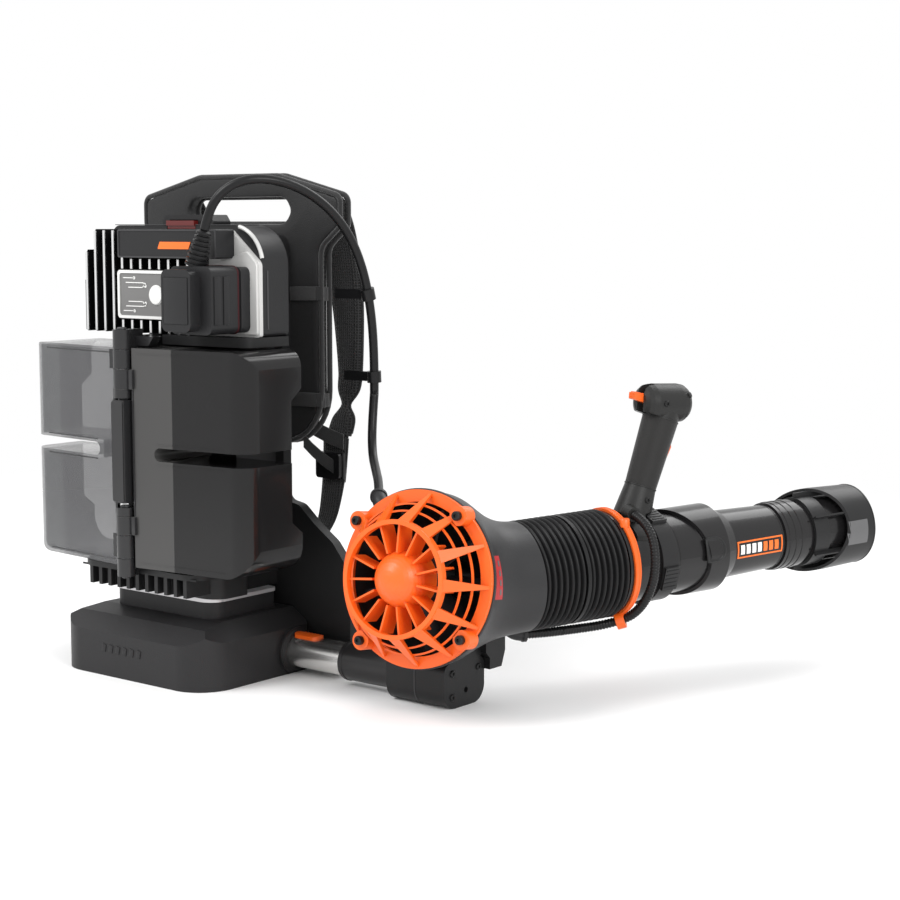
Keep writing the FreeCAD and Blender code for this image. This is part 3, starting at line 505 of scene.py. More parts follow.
def grown(host, tree_name, values):
    """Runs a tree on the host object and gives back the plain mesh; the host is removed."""
    tree = TREES[tree_name]
    modifier = host.modifiers.new("grow", "NODES")
    modifier.node_group = tree
    for item in tree.interface.items_tree:
        if item.in_out == "INPUT" and item.name in values:
            modifier[item.identifier] = values[item.name]
    mesh = evaluated_mesh(host)
    bpy.data.objects.remove(host)
    return mesh


def copies(name, pattern, spots, body, finish_name, size=1.0):
    """One piece made of copies of a pattern mesh at (place, aim, up) spots."""
    mesh = bpy.data.meshes.new(name + "_spots")
    mesh.from_pydata([s[0] for s in spots], [], [])
    for k, label in ((1, "aim"), (2, "up")):
        layer = mesh.attributes.new(label, "FLOAT_VECTOR", "POINT")
        layer.data.foreach_set("vector", [c for s in spots for c in s[k]])
    host = placed(name + "_host", mesh)
    made = placed("pattern", pattern)
    out = grown(host, "spots", {"Piece": made, "Size": size, "Finish": FINISH[finish_name]})
    bpy.data.objects.remove(made)
    return piece(name, out, body, finish_name)


def rib_row(name, pattern, points, step, body, finish_name, cyclic=False):
    """One piece made of copies of a pattern mesh along a smooth line through the points."""
    host = curve_object(name + "_host", points, "POLY", cyclic)
    made = placed("pattern", pattern)
    out = grown(host, "path", {"Piece": made, "Step": step, "Finish": FINISH[finish_name]})
    bpy.data.objects.remove(made)
    return piece(name, out, body, finish_name)


def curve_object(name, points, kind, cyclic=False):
    """Polyline through close points, or a smooth NURBS line that the points pull."""
    data = bpy.data.curves.new(name, "CURVE")
    data.dimensions, data.resolution_u = "3D", 16
    spline = data.splines.new(kind)
    spline.points.add(len(points) - 1)
    for k, point in enumerate(points):
        spline.points[k].co = (*point, 1)
    if kind == "NURBS":
        spline.order_u, spline.use_endpoint_u = 3, True
    spline.use_cyclic_u = cyclic
    return placed(name, data)


def screw_head(radius, height, recess=True):
    """Round screw head along +Z with a six-sided recess."""
    def build(shape):
        turns = [2 * math.pi * i / 24 for i in range(24)]

        def ring(r, z):
            return [Vector((r * math.cos(a), r * math.sin(a), z)) for a in turns]

        def hexed(r, z):
            out = []
            for a in turns:
                k = math.cos(math.pi / 6) / math.cos((a % (math.pi / 3)) - math.pi / 6)
                out.append(Vector((r * k * math.cos(a), r * k * math.sin(a), z)))
            return out
        rings = [ring(radius, 0), ring(radius, height * 0.6), ring(radius * 0.85, height)]
        if recess:
            rings += [hexed(radius * 0.5, height), hexed(radius * 0.45, height * 0.25)]
        add_loft(shape, rings)
    return as_mesh(build, "screw_head")


def tube_along(shape, points, radius, count=12, cyclic=False, flat=1.0, up=Z):
    """Round or flattened tube through close points."""
    rings = []
    total = len(points)
    for i, point in enumerate(points):
        before = points[i - 1] if (i or cyclic) else point
        after = points[(i + 1) % total] if (i < total - 1 or cyclic) else point
        ahead = (after - before).normalized()
        side = ahead.cross(up)
        side = side.normalized() if side.length > 1e-4 else ahead.orthogonal().normalized()
        lift = side.cross(ahead).normalized()
        rings.append([point + side * radius * math.cos(2 * math.pi * k / count)
                      + lift * radius * flat * math.sin(2 * math.pi * k / count) for k in range(count)])
    add_loft(shape, rings, cyclic)


# ---- base, spine and doors -----------------------------------------------------------
HINGE_Y = -0.0745
DOOR_REACH, DOOR_STEPS = 0.134, 12


def facing_rear(x, y, z):
    return (Vector((x, y, z)), -Y, X)


def base_details():
    def bars(shape):
        for k in range(6):
            x = -0.0385 + k * 0.0108
            turn = Quaternion(Y, math.radians(12))
            add_box(shape, (x, -0.0778, 0.0262), (x + 0.0062, -0.0768, 0.0345), 0.0006, turn)
    piece("base_bars", as_mesh(bars, "base_bars"), "pack", "base")

    def feet(shape):
        for side in (-1, 1):
            for y in (-0.048, 0.062):
                add_turned(shape, [(0.0, 0.0), (0.008, 0.0), (0.009, 0.0015), (0.009, 0.0031), (0, 0.0031)],
                           lambda p, s=side, y0=y: Vector((s * 0.078 + p.x, y0 + p.z, p.y)), 24)
    piece("base_feet", as_mesh(feet, "base_feet"), "pack", "hose")

    def socket_rim(shape):
        place = lambda p: Vector((0.1145 + p.y, 0.060 + p.x, 0.0252 + p.z))
        add_turned(shape, [(0.0178, -0.002), (0.0215, -0.002), (0.0225, 0.0), (0.0225, 0.0035),
                           (0.021, 0.0048), (0.0178, 0.0048)], place, 48, True)
    piece("arm_socket_rim", as_mesh(socket_rim, "arm_socket_rim"), "pack", "base")


def comb_details():
    """Thin blades that fill the gaps of the vent under the doors, behind its teeth."""
    def blades(shape):
        for k in range(24):
            x = -0.0725 + k * 0.0063
            add_box(shape, (x - 0.0008, -0.0545, 0.0955), (x + 0.0008, -0.026, 0.1125), 0.0)
        add_box(shape, (-0.088, -0.0588, 0.1128), (0.088, -0.0575, 0.1148), 0.0003)
    piece("vent_blades", as_mesh(blades, "vent_blades"), "pack", "comb")


def spine_details():
    def cover(shape):
        outline = rounded_outline([(-0.0084, 0.1915), (0.0084, 0.1915), (0.0084, 0.2965), (-0.0084, 0.2965)],
                                  0.0012)
        add_plate(shape, outline, -0.0826, -0.0840, 0.0005)
    piece("spine_face", as_mesh(cover, "spine_face"), "pack", "spine")
    ends = [(Vector((0, HINGE_Y, z)), aim, X)
            for z, aim in ((0.3711, Z), (0.2998, -Z), (0.1852, Z), (0.1118, -Z))]
    copies("pin_heads", screw_head(0.0048, 0.0022, False), ends, "pack", "mark")


def door_details(side):
    """Moulded lines, hinge barrels and the dark edge channel of one door."""
    name = f"door_{side_name(side)}"
    rear = lambda x: -0.0735 + (x - 0.013) * 0.09

    def lines(shape):
        for z in (0.1275, 0.3465, 0.2325, 0.2535):
            start = 0.046 if 0.2 < z < 0.3 else 0.020
            for k in range(DOOR_STEPS):
                x0 = start + k * (DOOR_REACH - start) / DOOR_STEPS
                x1 = x0 + (DOOR_REACH - start) / DOOR_STEPS
                points = [(x0, z - 0.0006), (x1, z - 0.0006), (x1, z + 0.0006), (x0, z + 0.0006)]
                near = [Vector((side * a, rear(a) - 0.0004, b)) for a, b in points]
                far = [Vector((side * a, rear(a) + 0.0006, b)) for a, b in points]
                add_loft(shape, [near, far])
    piece(f"{name}_lines", as_mesh(lines, "lines"), name, "door_right" if side > 0 else "mark")

    knuckles = ((0.3092, 0.3298), (0.1564, 0.1758)) if side > 0 else ((0.3302, 0.3500), (0.1314, 0.1560))

    def barrels(shape):
        """Dark barrels round the door's hinge knuckles, each with its arm to the door's edge."""
        for low, high in knuckles:
            profile = [(0.0093, low + 0.0003), (0.0097, low + 0.0006), (0.0097, high - 0.0006),
                       (0.0093, high - 0.0003)]
            add_turned(shape, profile, lambda p: Vector((p.x, HINGE_Y + p.z, p.y)), 40, True)
            add_box(shape, (side * 0.0080, -0.0768, low + 0.0004), (side * 0.0166, -0.0700, high - 0.0004),
                    0.0006)
    piece(f"{name}_barrels", as_mesh(barrels, "barrels"), name, "spine")

    def edge_strip(shape):
        """Dark channel down the door's edge beside the spine."""
        add_box(shape, (side * 0.0126, -0.0742, 0.1768), (side * 0.0150, -0.0700, 0.3084), 0.0003)
    piece(f"{name}_edge", as_mesh(edge_strip, "edge_strip"), name, "spine")


def battery_details():
    """Grip ribs and end lines moulded on each battery pack."""
    def build(shape):
        for low, high in ((0.128, 0.230), (0.256, 0.346)):
            for z in (low + 0.010, high - 0.010):
                add_box(shape, (0.030, -0.0475, z - 0.0012), (0.132, -0.0405, z + 0.0012), 0.0004,
                        Quaternion(Z, math.radians(3.6)), (0.085, -0.042, z))
            middle = (low + high) / 2
            for k in range(5):
                add_box(shape, (0.0555 + k * 0.011, -0.0452, middle - 0.02),
                        (0.0605 + k * 0.011, -0.0422, middle + 0.02), 0.0006)
    piece("battery_ribs", as_mesh(build, "battery_ribs"), "pack", "battery")


# ---- hub ------------------------------------------------------------------------------
FIN_X0, FIN_PITCH, FIN_COUNT = -0.109, 0.0143, 12


def fin_stretches(x):
    """Heights where a fin's rear edge is bare: above and below the panel, left of the badge."""
    low, top = 0.364, min(0.474, 0.418 + (x + 0.129) * 1.6)
    if x < -0.06:
        return [(low, min(top, 0.4735) if x < -0.0505 else 0.4435)]
    if x > 0.058:
        return [(low, 0.443)]
    return [(low, 0.3785)] + ([(0.4315, 0.4435)] if x > -0.0505 else [(0.4315, 0.473)])


def hub_details():
    def edges(shape):
        for k in range(FIN_COUNT):
            x = FIN_X0 + k * FIN_PITCH
            if x > 0.060:
                continue
            for low, high in fin_stretches(x):
                add_box(shape, (x - 0.0016, -0.0262, low + 0.0006), (x + 0.0016, -0.0246, high - 0.0008),
                        0.0003)
    piece("fin_edges", as_mesh(edges, "fin_edges"), "pack", "fin_edge")

    def border(shape):
        outer = rectangle(-0.0585, 0.0565, 0.3795, 0.4305, 0.004)
        inner = rectangle(-0.0555, 0.0535, 0.3825, 0.4275, 0.003)
        add_border(shape, ((outer, -0.0258), (outer, -0.0271), (inner, -0.0271), (inner, -0.0258)))
    piece("panel_border", as_mesh(border, "panel_border"), "pack", "white")

    def traces(shape):
        """Printed circuit lines with pads at their ends."""
        rows = []
        for up in (-1, 1):
            for k, (run, rise) in enumerate(((0.010, 0.0), (0.016, -0.004), (0.013, 0.004))):
                height = 0.405 + up * (0.0175 - 0.0050 * k)
                rows.append((-0.050 + 0.004 * k, height, run * 1.7, rise * up))
                rows.append((0.018 + 0.003 * k, height, run * 1.7, rise * up))
        for x, z, run, rise in rows:
            add_box(shape, (x, -0.0266, z - 0.0005), (x + run, -0.0258, z + 0.0005))
            if rise:
                tip = Vector((x + run, -0.0262, z))
                turn = Quaternion(Y, -math.copysign(math.radians(45), rise))
                far = tip.x + abs(rise) * 1.2
                add_box(shape, (tip.x, -0.0266, z - 0.0005), (far, -0.0258, z + 0.0005), 0, turn, tip)
                x, z = x + abs(rise) * 0.85, z + rise * 0.85
            end = Vector((x + run, -0.0262, z))
            add_turned(shape, [(0, -0.0004), (0.0017, -0.0004), (0.0017, 0.0004), (0, 0.0004)],
                       lambda p, c=end: c + p, 16)
    piece("panel_traces", as_mesh(traces, "panel_traces"), "pack", "white")

    def disc(shape):
        profile = [(0, -0.0275), (0.0095, -0.0275), (0.0106, -0.0262), (0.0106, -0.0255), (0, -0.0255)]
        add_turned(shape, profile, lambda p: Vector((0.0005 + p.x, p.y, 0.405 + p.z)), 64)
    piece("panel_disc", as_mesh(disc, "panel_disc"), "pack", "white")

    def bar(shape):
        slant = [(0.012, 0.4535), (0.058, 0.4535), (0.0615, 0.4610), (0.0155, 0.4610)]
        add_plate(shape, rounded_outline(slant, 0.0008), -0.0328, -0.0337)
    piece("badge_bar", as_mesh(bar, "badge_bar"), "pack", "orange_print")

    def rim(shape):
        outer = rectangle(-0.0498, 0.0978, 0.4442, 0.4738, 0.002)
        inner = rectangle(-0.0482, 0.0962, 0.4458, 0.4722, 0.0016)
        add_border(shape, ((outer, -0.0325), (outer, -0.0338), (inner, -0.0338), (inner, -0.0325)))
    piece("badge_rim", as_mesh(rim, "badge_rim"), "pack", "mark")

    def shoulder_highlight_line(shape):
        """Painted highlight: a curved bright silver strip along the hub's round shoulder."""
        centre, bend = Vector((0.091, -0.0008, 0.4360)), 0.0415
        turns = [math.radians(78 - k * 5.5) for k in range(13)]
        points = [centre + Vector((bend * math.cos(a), 0, bend * math.sin(a))) for a in turns]
        tube_along(shape, points, 0.0021, 8, False, 1, Y)
    # The strip is painted highlight on the dark hub, not a separate part.
    piece("shoulder_catch", as_mesh(shoulder_highlight_line, "shoulder_catch"), "pack", "hub_silver")

    def side_plate(shape):
        outline = rounded_outline([(0.0735, 0.3665), (0.1315, 0.3665), (0.1315, 0.4395), (0.1175, 0.4520),
                                   (0.0735, 0.4395)], [0.002, 0.003, 0.008, 0.006, 0.002])
        add_plate(shape, outline, -0.0068, -0.0092, 0.0008)
    piece("hub_side_plate", as_mesh(side_plate, "hub_side_plate"), "pack", "hub_silver")
    spots = [facing_rear(x, -0.0071, z) for x, z in ((-0.1265, 0.372), (-0.1265, 0.406), (0.1255, 0.4375),
                                                    (0.1262, 0.372))]
    copies("hub_screws", screw_head(0.0036, 0.0018), spots, "pack", "black_screw")

    def lid_line(shape):
        add_box(shape, (-0.088, -0.0026, 0.4782), (0.092, 0.0352, 0.4790), 0.0002)
        add_box(shape, (0.1329, 0.004, 0.372), (0.1336, 0.006, 0.432), 0.0002)
    piece("hub_seams", as_mesh(lid_line, "hub_seams"), "pack", "mark")


def plug_details():
    def steps(shape):
        for side in (0.0597, 0.1203):
            for y0, y1 in ((-0.0585, -0.0500), (-0.0455, -0.0370)):
                add_box(shape, (side - 0.0009, y0, 0.378), (side + 0.0009, y1, 0.427), 0.0008)
        add_box(shape, (0.0655, -0.0768, 0.379), (0.1005, -0.0757, 0.426), 0.0010)
    piece("plug_ridges", as_mesh(steps, "plug_ridges"), "pack", "hub")

    def seal(shape):
        flush = rectangle(0.0602, 0.1198, 0.3682, 0.4368, 0.008)
        proud = [p + (p - Vector((0.09, 0.4025))).normalized() * 0.0008 for p in flush]
        add_border(shape, ((flush, -0.0252), (proud, -0.0247), (proud, -0.0233), (flush, -0.0228)))
    piece("plug_seal", as_mesh(seal, "plug_seal"), "pack", "seal")


RELIEF_FOOT = Vector((88, -52, 436.5)) * MM
RELIEF_LEAN = Vector((0.26, 0.08, 0.962)).normalized()
RELIEF_LENGTH, RELIEF_RIBS, RELIEF_R = 0.038, 7, 0.0118


def relief():
    """Tapered strain relief with round ribs, down to the cable's own width."""
    turn = Z.rotation_difference(RELIEF_LEAN)
    place = lambda p: RELIEF_FOOT + turn @ Vector((p.x, p.z, p.y))
    profile = [(0.0, 0.0008), (RELIEF_R, 0.0008), (RELIEF_R, 0.0030)]
    pitch = (RELIEF_LENGTH - 0.0045) / RELIEF_RIBS
    for k in range(RELIEF_RIBS):
        y = 0.0035 + k * pitch
        r = RELIEF_R - k * 0.00068
        profile += [(r - 0.0020, y), (r - 0.0020, y + pitch * 0.28), (r, y + pitch * 0.40),
                    (r, y + pitch * 0.86), (r - 0.0020, y + pitch)]
    profile += [(0.0054, RELIEF_LENGTH - 0.0006), (0.0, RELIEF_LENGTH - 0.0006)]
    obj = piece("plug_relief_ribbed", as_mesh(lambda s: add_turned(s, profile, place, 40), "relief"),
                "pack", "cable", 35)
    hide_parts("plug_relief")


# ---- arm ---------------------------------------------------------------------------------
def arm_details():
    place = lambda x0: (lambda p: Vector((x0 + p.y, 0.060 + p.x, 0.025 + p.z)))

    def bands(shape):
        for x in (0.1955, 0.2640):
            add_turned(shape, [(0.0204, 0), (0.0212, 0.0006), (0.0212, 0.0034), (0.0204, 0.004)],
                       place(x), 64, True)
    piece("sleeve_bands", as_mesh(bands, "sleeve_bands"), "pack", "sleeve")

    def seam(shape):
        """Band round the swivel block, kept above the floor."""
        outline = rectangle(0.0290, 0.0942, 0.0, 0.0472, [0.018, 0.018, 0.010, 0.010])
        middle = Vector((0.0615, 0.0236))
        rings = []
        for grow, depth in ((-0.0004, -0.0009), (0.0006, -0.0006), (0.0006, 0.0006), (-0.0004, 0.0009)):
            ring = [p + (p - middle).normalized() * grow for p in outline]
            rings.append([Vector((0.307 + depth, p.x, max(p.y, 0.0001))) for p in ring])
        add_loft(shape, rings, True)
    piece("block_seam", as_mesh(seam, "block_seam"), "blower", "mark")
    copies("block_screws", screw_head(0.0036, 0.0016),
           [(Vector((0.3450, y, z)), X, Z) for y, z in ((0.042, 0.036), (0.084, 0.036), (0.042, 0.012))],
           "blower", "black_screw")
    copies("saddle_screws", screw_head(0.0040, 0.0018),
           [(Vector((x, 0.0341, z)), -Y, Z) for x, z in ((0.297, 0.056), (0.338, 0.056))],
           "blower", "black_screw")

    def button_ribs(shape):
        for k in range(5):
            x = 0.1265 + k * 0.0045
            add_box(shape, (x - 0.0007, 0.0545, 0.0440), (x + 0.0007, 0.0655, 0.0452), 0.0003)
    piece("button_ribs", as_mesh(button_ribs, "button_ribs"), "arm_button", "orange")


# ---- fan -------------------------------------------------------------------------------
def fan_details():
    spots = []
    for angle in FLANGE_EARS:
        a = math.radians(angle)
        centre = Vector((FLANGE_R * math.cos(a), -0.0191, -FLANGE_R * math.sin(a)))
        spots.append((at_fan(centre), FAN_TURN @ -Y, FAN_TURN @ Vector((math.cos(a), 0, -math.sin(a)))))
    copies("grille_screw_heads", screw_head(0.0046, 0.0022), spots, "blower", "black_screw")

    def trims(shape):
        add_turned(shape, [(0.0872, -0.0001), (0.0884, 0.0004), (0.0884, 0.0030), (0.0862, 0.0034),
                           (0.0845, 0.0034), (0.0845, -0.0001)], at_fan, 96, True)
    piece("flange_bead", as_mesh(trims, "flange_bead"), "blower", "housing")


SURFACES = {}
LABEL_REACH = 0.13


def face_tree(mesh):
    """A mesh's faces, ready for casting lines at them."""
    return BVHTree.FromPolygons([v.co for v in mesh.vertices], [p.vertices for p in mesh.polygons])


def on_surface(node, origin, aim):
    """Point and outward direction where a line from origin meets a CAD node."""
    if node not in SURFACES:
        SURFACES[node] = face_tree(NODES[node].data)
    hit, normal, _, _ = SURFACES[node].ray_cast(Vector(origin), Vector(aim).normalized())
    if hit is None:
        return None
    if normal.dot(Vector(aim)) > 0:
        normal = -normal
    return hit, normal


def inlet_boss(name, line, aim, radius):
    """Moulded inlet that carries a cord's end from the open air into the fan housing."""
    end, before = Vector(line[-1]), Vector(line[-2])
    ahead = (end - before).normalized()
    hit = on_surface("fan_housing", end, aim)
    if hit is None:
        raise ValueError(f"{name} doesn't meet the housing")
    root = hit[0] + Vector(aim).normalized() * 0.0015
    middle = end + ahead * min(0.006, (root - end).length * 0.4)

    def build(shape):
        curve = []
        for k in range(15):
            t = k / 14
            curve.append((1 - t) ** 2 * (end - ahead * 0.008) + 2 * t * (1 - t) * middle + t * t * root)
        tube_along(shape, curve, radius, 24, False, 1, Z)
        tube_along(shape, [end - ahead * 0.0085, end - ahead * 0.0045], radius * 1.14, 24, False, 1, Z)
    piece(name, as_mesh(build, name), "blower", "housing")


def sticker(name, node, corner, across, up, aim, columns, rows, lift, body, finish_name,
            cut=None):
    """Thin label wrapped on a CAD node: a grid of points cast onto its surface.

    Points that land past LABEL_REACH have missed the near wall and are left out.
    """
    grid, back = {}, {}
    shape = bmesh.new()
    for i in range(columns + 1):
        for j in range(rows + 1):
            start = Vector(corner) + across * (i / columns) + up * (j / rows)
            found = on_surface(node, start, aim)
            near = found and (found[0] - start).length < LABEL_REACH
            if near and (cut is None or cut(i / columns, j / rows)):
                grid[i, j] = shape.verts.new(found[0] + found[1] * lift)
                back[i, j] = shape.verts.new(found[0] + found[1] * lift * 0.2)
    for layer in (grid, back):
        for i in range(columns):
            for j in range(rows):
                keys = [(i, j), (i + 1, j), (i + 1, j + 1), (i, j + 1)]
                if all(k in layer for k in keys):
                    shape.faces.new([layer[k] for k in keys])
    for edge in [e for e in shape.edges if len(e.link_faces) == 1 and e.verts[0] in grid.values()]:
        keys = [k for v in edge.verts for k, w in grid.items() if w == v]
        shape.faces.new((grid[keys[0]], grid[keys[1]], back[keys[1]], back[keys[0]]))
    loose = [v for v in shape.verts if not v.link_faces]
    bmesh.ops.delete(shape, geom=loose, context="VERTS")
    bmesh.ops.recalc_face_normals(shape, faces=shape.faces)
    mesh = bpy.data.meshes.new(name)
    shape.to_mesh(mesh)
    shape.free()
    return piece(name, mesh, body, finish_name, 60)


def fan_labels():
    """Plain red caution label with a paler field, on the housing's flank."""
    side = FAN_TURN @ Vector((0.985, -0.17, 0))
    corner = at_fan((0.10, 0.0105, -0.012)) + side * 0.1
    along, up = FAN_TURN @ Vector((0, 0.0150, 0)), Z * 0.042
    sticker("warning_label", "fan_housing", corner, along, up, -side, 10, 26, 0.0004, "blower", "warning")
    for k in range(4):
        start = corner + along * 0.62 + up * (0.10 + 0.22 * k)
        sticker(f"warning_bar_{k}", "fan_housing", start, along * 0.2, up * 0.13, -side, 4, 8, 0.0007,
                "blower", "label")


VALLEY_R, CREST, HOSE_WALL = HOSE_R - 0.0030, 0.0058, 0.0018


def hose_half(name, start, end, ribs, body_b, node):
    """Ribbed rubber hose with round crests."""
    pitch = (end - start) / ribs
    outside, inside = [], []
    for k in range(ribs):
        for part in range(8):
            t = part / 8
            crest = CREST * (0.5 - 0.5 * math.cos(2 * math.pi * t)) ** 0.7
            y = start + (k + t) * pitch
            outside.append((VALLEY_R + crest, y))
            inside.append((VALLEY_R - HOSE_WALL + crest, y))
    outside.append((VALLEY_R, end))
    inside.append((VALLEY_R - HOSE_WALL, end))
    mesh = as_mesh(lambda s: add_turned(s, outside + inside[::-1], at_duct, 96, True), name)
    obj = piece(name, mesh, body_b, "hose", 0)
    obj.parent = None
    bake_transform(obj)
    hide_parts(node)


def hose():
    middle, ribs = HOSE_LENGTH / 2, HOSE_RIBS // 2
    hose_half("hose_rear_ribs", 0.0003, middle - 0.0021, ribs, "bellows_mid", "bellows_rear")
    hose_half("hose_front_ribs", middle + 0.0021, HOSE_LENGTH - 0.0003, ribs, "wand",
              "bellows_front")


# ---- wand and nozzle ---------------------------------------------------------------------
def wand_details():
    def collar_ribs(shape):
        for y in (0.1065, 0.1105):
            add_turned(shape, [(0.0562, y), (0.0570, y + 0.0004), (0.0570, y + 0.0014), (0.0562, y + 0.0018)],
                       at_duct, 96, True)
    piece("clamp_beads", as_mesh(collar_ribs, "clamp_beads"), "wand", "orange")

    def screw_boss(shape):
        place = lambda p: duct_mm(0, 0, 0) + DUCT_TURN @ Vector((0.0335 + p.x, 0.1097 + p.z, 0.0455 + p.y))
        profile = [(0, -0.004), (0.0052, -0.004), (0.0052, 0.0035), (0.0044, 0.0045), (0, 0.0045)]
        add_turned(shape, profile, place, 24)
    piece("clamp_boss", as_mesh(screw_boss, "clamp_boss"), "wand", "orange")

    def lock_ribs(shape):
        for quarter in range(4):
            turn = Quaternion(Y, math.radians(20 + quarter * 90))
            for k in range(5):
                x = -0.0095 + k * 0.00475
                low, high = Vector((x - 0.0008, 0.1495, 0.0482)), Vector((x + 0.0008, 0.1645, 0.0503))
                made = add_box(shape, low, high, 0.0004)
                for vert in made:
                    vert.co = at_duct(turn @ vert.co)
    piece("lock_ring_ribs", as_mesh(lock_ribs, "lock_ring_ribs"), "lock_ring", "tube_grey")

    def tube_rings(shape):
        for r, y in ((0.0345, 0.262), (0.0345, 0.3140)):
            add_turned(shape, [(r - 0.0006, y), (r + 0.0004, y + 0.0005), (r + 0.0004, y + 0.0018),
                               (r - 0.0006, y + 0.0024)], at_duct, 96, True)
        for k in range(3):
            y = 0.322 + k * 0.0085
            add_turned(shape, [(0.0364, y), (0.0374, y + 0.0006), (0.0374, y + 0.0036), (0.0364, y + 0.0042)],
                       at_duct, 96, True)
    piece("tube_rings", as_mesh(tube_rings, "tube_rings"), "wand", "tube")

    def thumb_recess(shape):
        wall, middle_y, middle_z = 0.0464, 0.216, 0.006
        outline = rounded_outline([(-0.011, -0.012), (0.011, -0.012), (0.011, 0.012), (-0.011, 0.012)],
                                  [0.003, 0.011, 0.011, 0.003])
        rings = []
        for grow, out in ((1.12, 0.0000), (1.12, 0.0011), (1.0, 0.0014), (0.90, 0.0002)):
            ring = []
            for p in outline:
                y, z = middle_y + p.x * grow, middle_z + p.y * grow
                ring.append(at_duct((math.sqrt(wall * wall - z * z) + out, y, z)))
            rings.append(ring)
        add_loft(shape, rings)
    piece("sleeve_recess", as_mesh(thumb_recess, "sleeve_recess"), "wand", "tube_grey")


def wand_label():
    """Wrapped outline label on the tube, with bars and no lettering."""
    corner, aim = at_duct((0.10, 0.2515, -0.0105)), DUCT_TURN @ -X
    along, up = DUCT_TURN @ Vector((0, 0.062, 0)), DUCT_TURN @ (Z * 0.018)
    edge = lambda a, b: a < 0.028 or a > 0.972 or b < 0.10 or b > 0.90
    sticker("wand_label_edge", "wand_tube", corner, along, up, aim, 72, 22, 0.0005, "wand", "orange_print",
            edge)
    for k in range(7):
        name = "white" if k < 4 else "orange_print"
        sticker(f"wand_label_bar_{k}", "wand_tube", corner + along * (0.07 + 0.125 * k) + up * 0.22,
                along * 0.085, up * 0.56, aim, 6, 8, 0.0006, "wand", name)


def nozzle_details():
    def rings(shape):
        add_turned(shape, [(0.0432, 0.4352), (0.0441, 0.4358), (0.0438, 0.4372), (0.0415, 0.4372),
                           (0.0415, 0.4352)], at_duct, 96, True)
    piece("nozzle_lip", as_mesh(rings, "nozzle_lip"), "nozzle", "tube_grey")
    sticker("nozzle_label", "nozzle_ring", at_duct((0.10, 0.398, -0.014)), DUCT_TURN @ Vector((0, 0.028, 0)),
            DUCT_TURN @ (Z * 0.026), DUCT_TURN @ -X, 14, 12, 0.0005, "nozzle", "label")


# ---- handle -----------------------------------------------------------------------------
GRIP_LEAN = math.radians(22)
GRIP_FOOT = Vector((0, 0.142, 0.044))
GRIP_UP = Vector((0, math.sin(GRIP_LEAN), math.cos(GRIP_LEAN)))
GRIP_START, GRIP_LENGTH = 0.0321, 0.074


def handle_details():
    turn = Z.rotation_difference(GRIP_UP)
    place = lambda p: at_duct(GRIP_FOOT + turn @ Vector((p.x, -p.z, p.y)))

    def seam(shape):
        for y in (GRIP_START - 0.0006, GRIP_START + GRIP_LENGTH - 0.001):
            r = 0.0172 if y < 0.05 else 0.0194
            add_turned(shape, [(r - 0.001, y), (r, y + 0.0004), (r, y + 0.0016), (r - 0.001, y + 0.002)],
                       place, 48, True)
    piece("grip_collars", as_mesh(seam, "grip_collars"), "wand", "handle")
    spots = []
    for node, origin in (("grip_head", (0.06, 0.208, 0.166)), ("grip_head", (0.06, 0.176, 0.160)),
                         ("handle_clamp", (0.06, 0.150, 0.062))):
        found = on_surface(node, at_duct(origin), DUCT_TURN @ -X)
        if found:
            spots.append((found[0], found[1], DUCT_TURN @ Z))
    copies("handle_screws", screw_head(0.0032, 0.0014), spots, "wand", "black_screw")

    def lever_ribs(shape):
        peak = GRIP_FOOT + GRIP_UP * (GRIP_START + GRIP_LENGTH + 0.0001)
        tail = Vector((0, peak.y - 0.015, peak.z + 0.020))
        for k in range(4):
            y = tail.y - 0.0175 + k * 0.0042
            z = tail.z + 0.0105 - k * 0.0012
            made = add_box(shape, (-0.0049, y - 0.0006, z - 0.0006), (0.0049, y + 0.0006, z + 0.0008), 0.0003)
            for vert in made:
                vert.co = at_duct(vert.co)
    piece("lever_ribs", as_mesh(lever_ribs, "lever_ribs"), "throttle_lever", "orange")


# ---- padded harness ---------------------------------------------------------------------
PAD_HALF, PAD_FOOT, PAD_TOP, PAD_REAR, PAD_FRONT = 0.120, 0.245, 0.530, 0.0963, 0.114
YOKE_HALF, GRIP_HALF, GRIP_Z, GRIP_H = 0.148, 0.076, 0.494, 0.0135
PAD_CHANNELS = (0.292, 0.338, 0.384, 0.430)


def pad_outline(inset):
    right = [(PAD_HALF - inset, PAD_FOOT + inset), (PAD_HALF - inset, 0.455),
             (YOKE_HALF - inset, 0.478 + inset * 0.6), (YOKE_HALF - inset, 0.508 - inset * 0.8),
             (0.060, PAD_TOP - inset)]
    points = right + [(-x, z) for x, z in right[::-1]]
    radii = [0.058, 0.020, 0.010, 0.010, 0.030]
    return rounded_outline(points, radii + radii[::-1], 10)


def hole_outline(grow):
    w, h = GRIP_HALF + grow, GRIP_H + grow
    return rectangle(-w, w, GRIP_Z - h, GRIP_Z + h, h - 0.0001, 12)


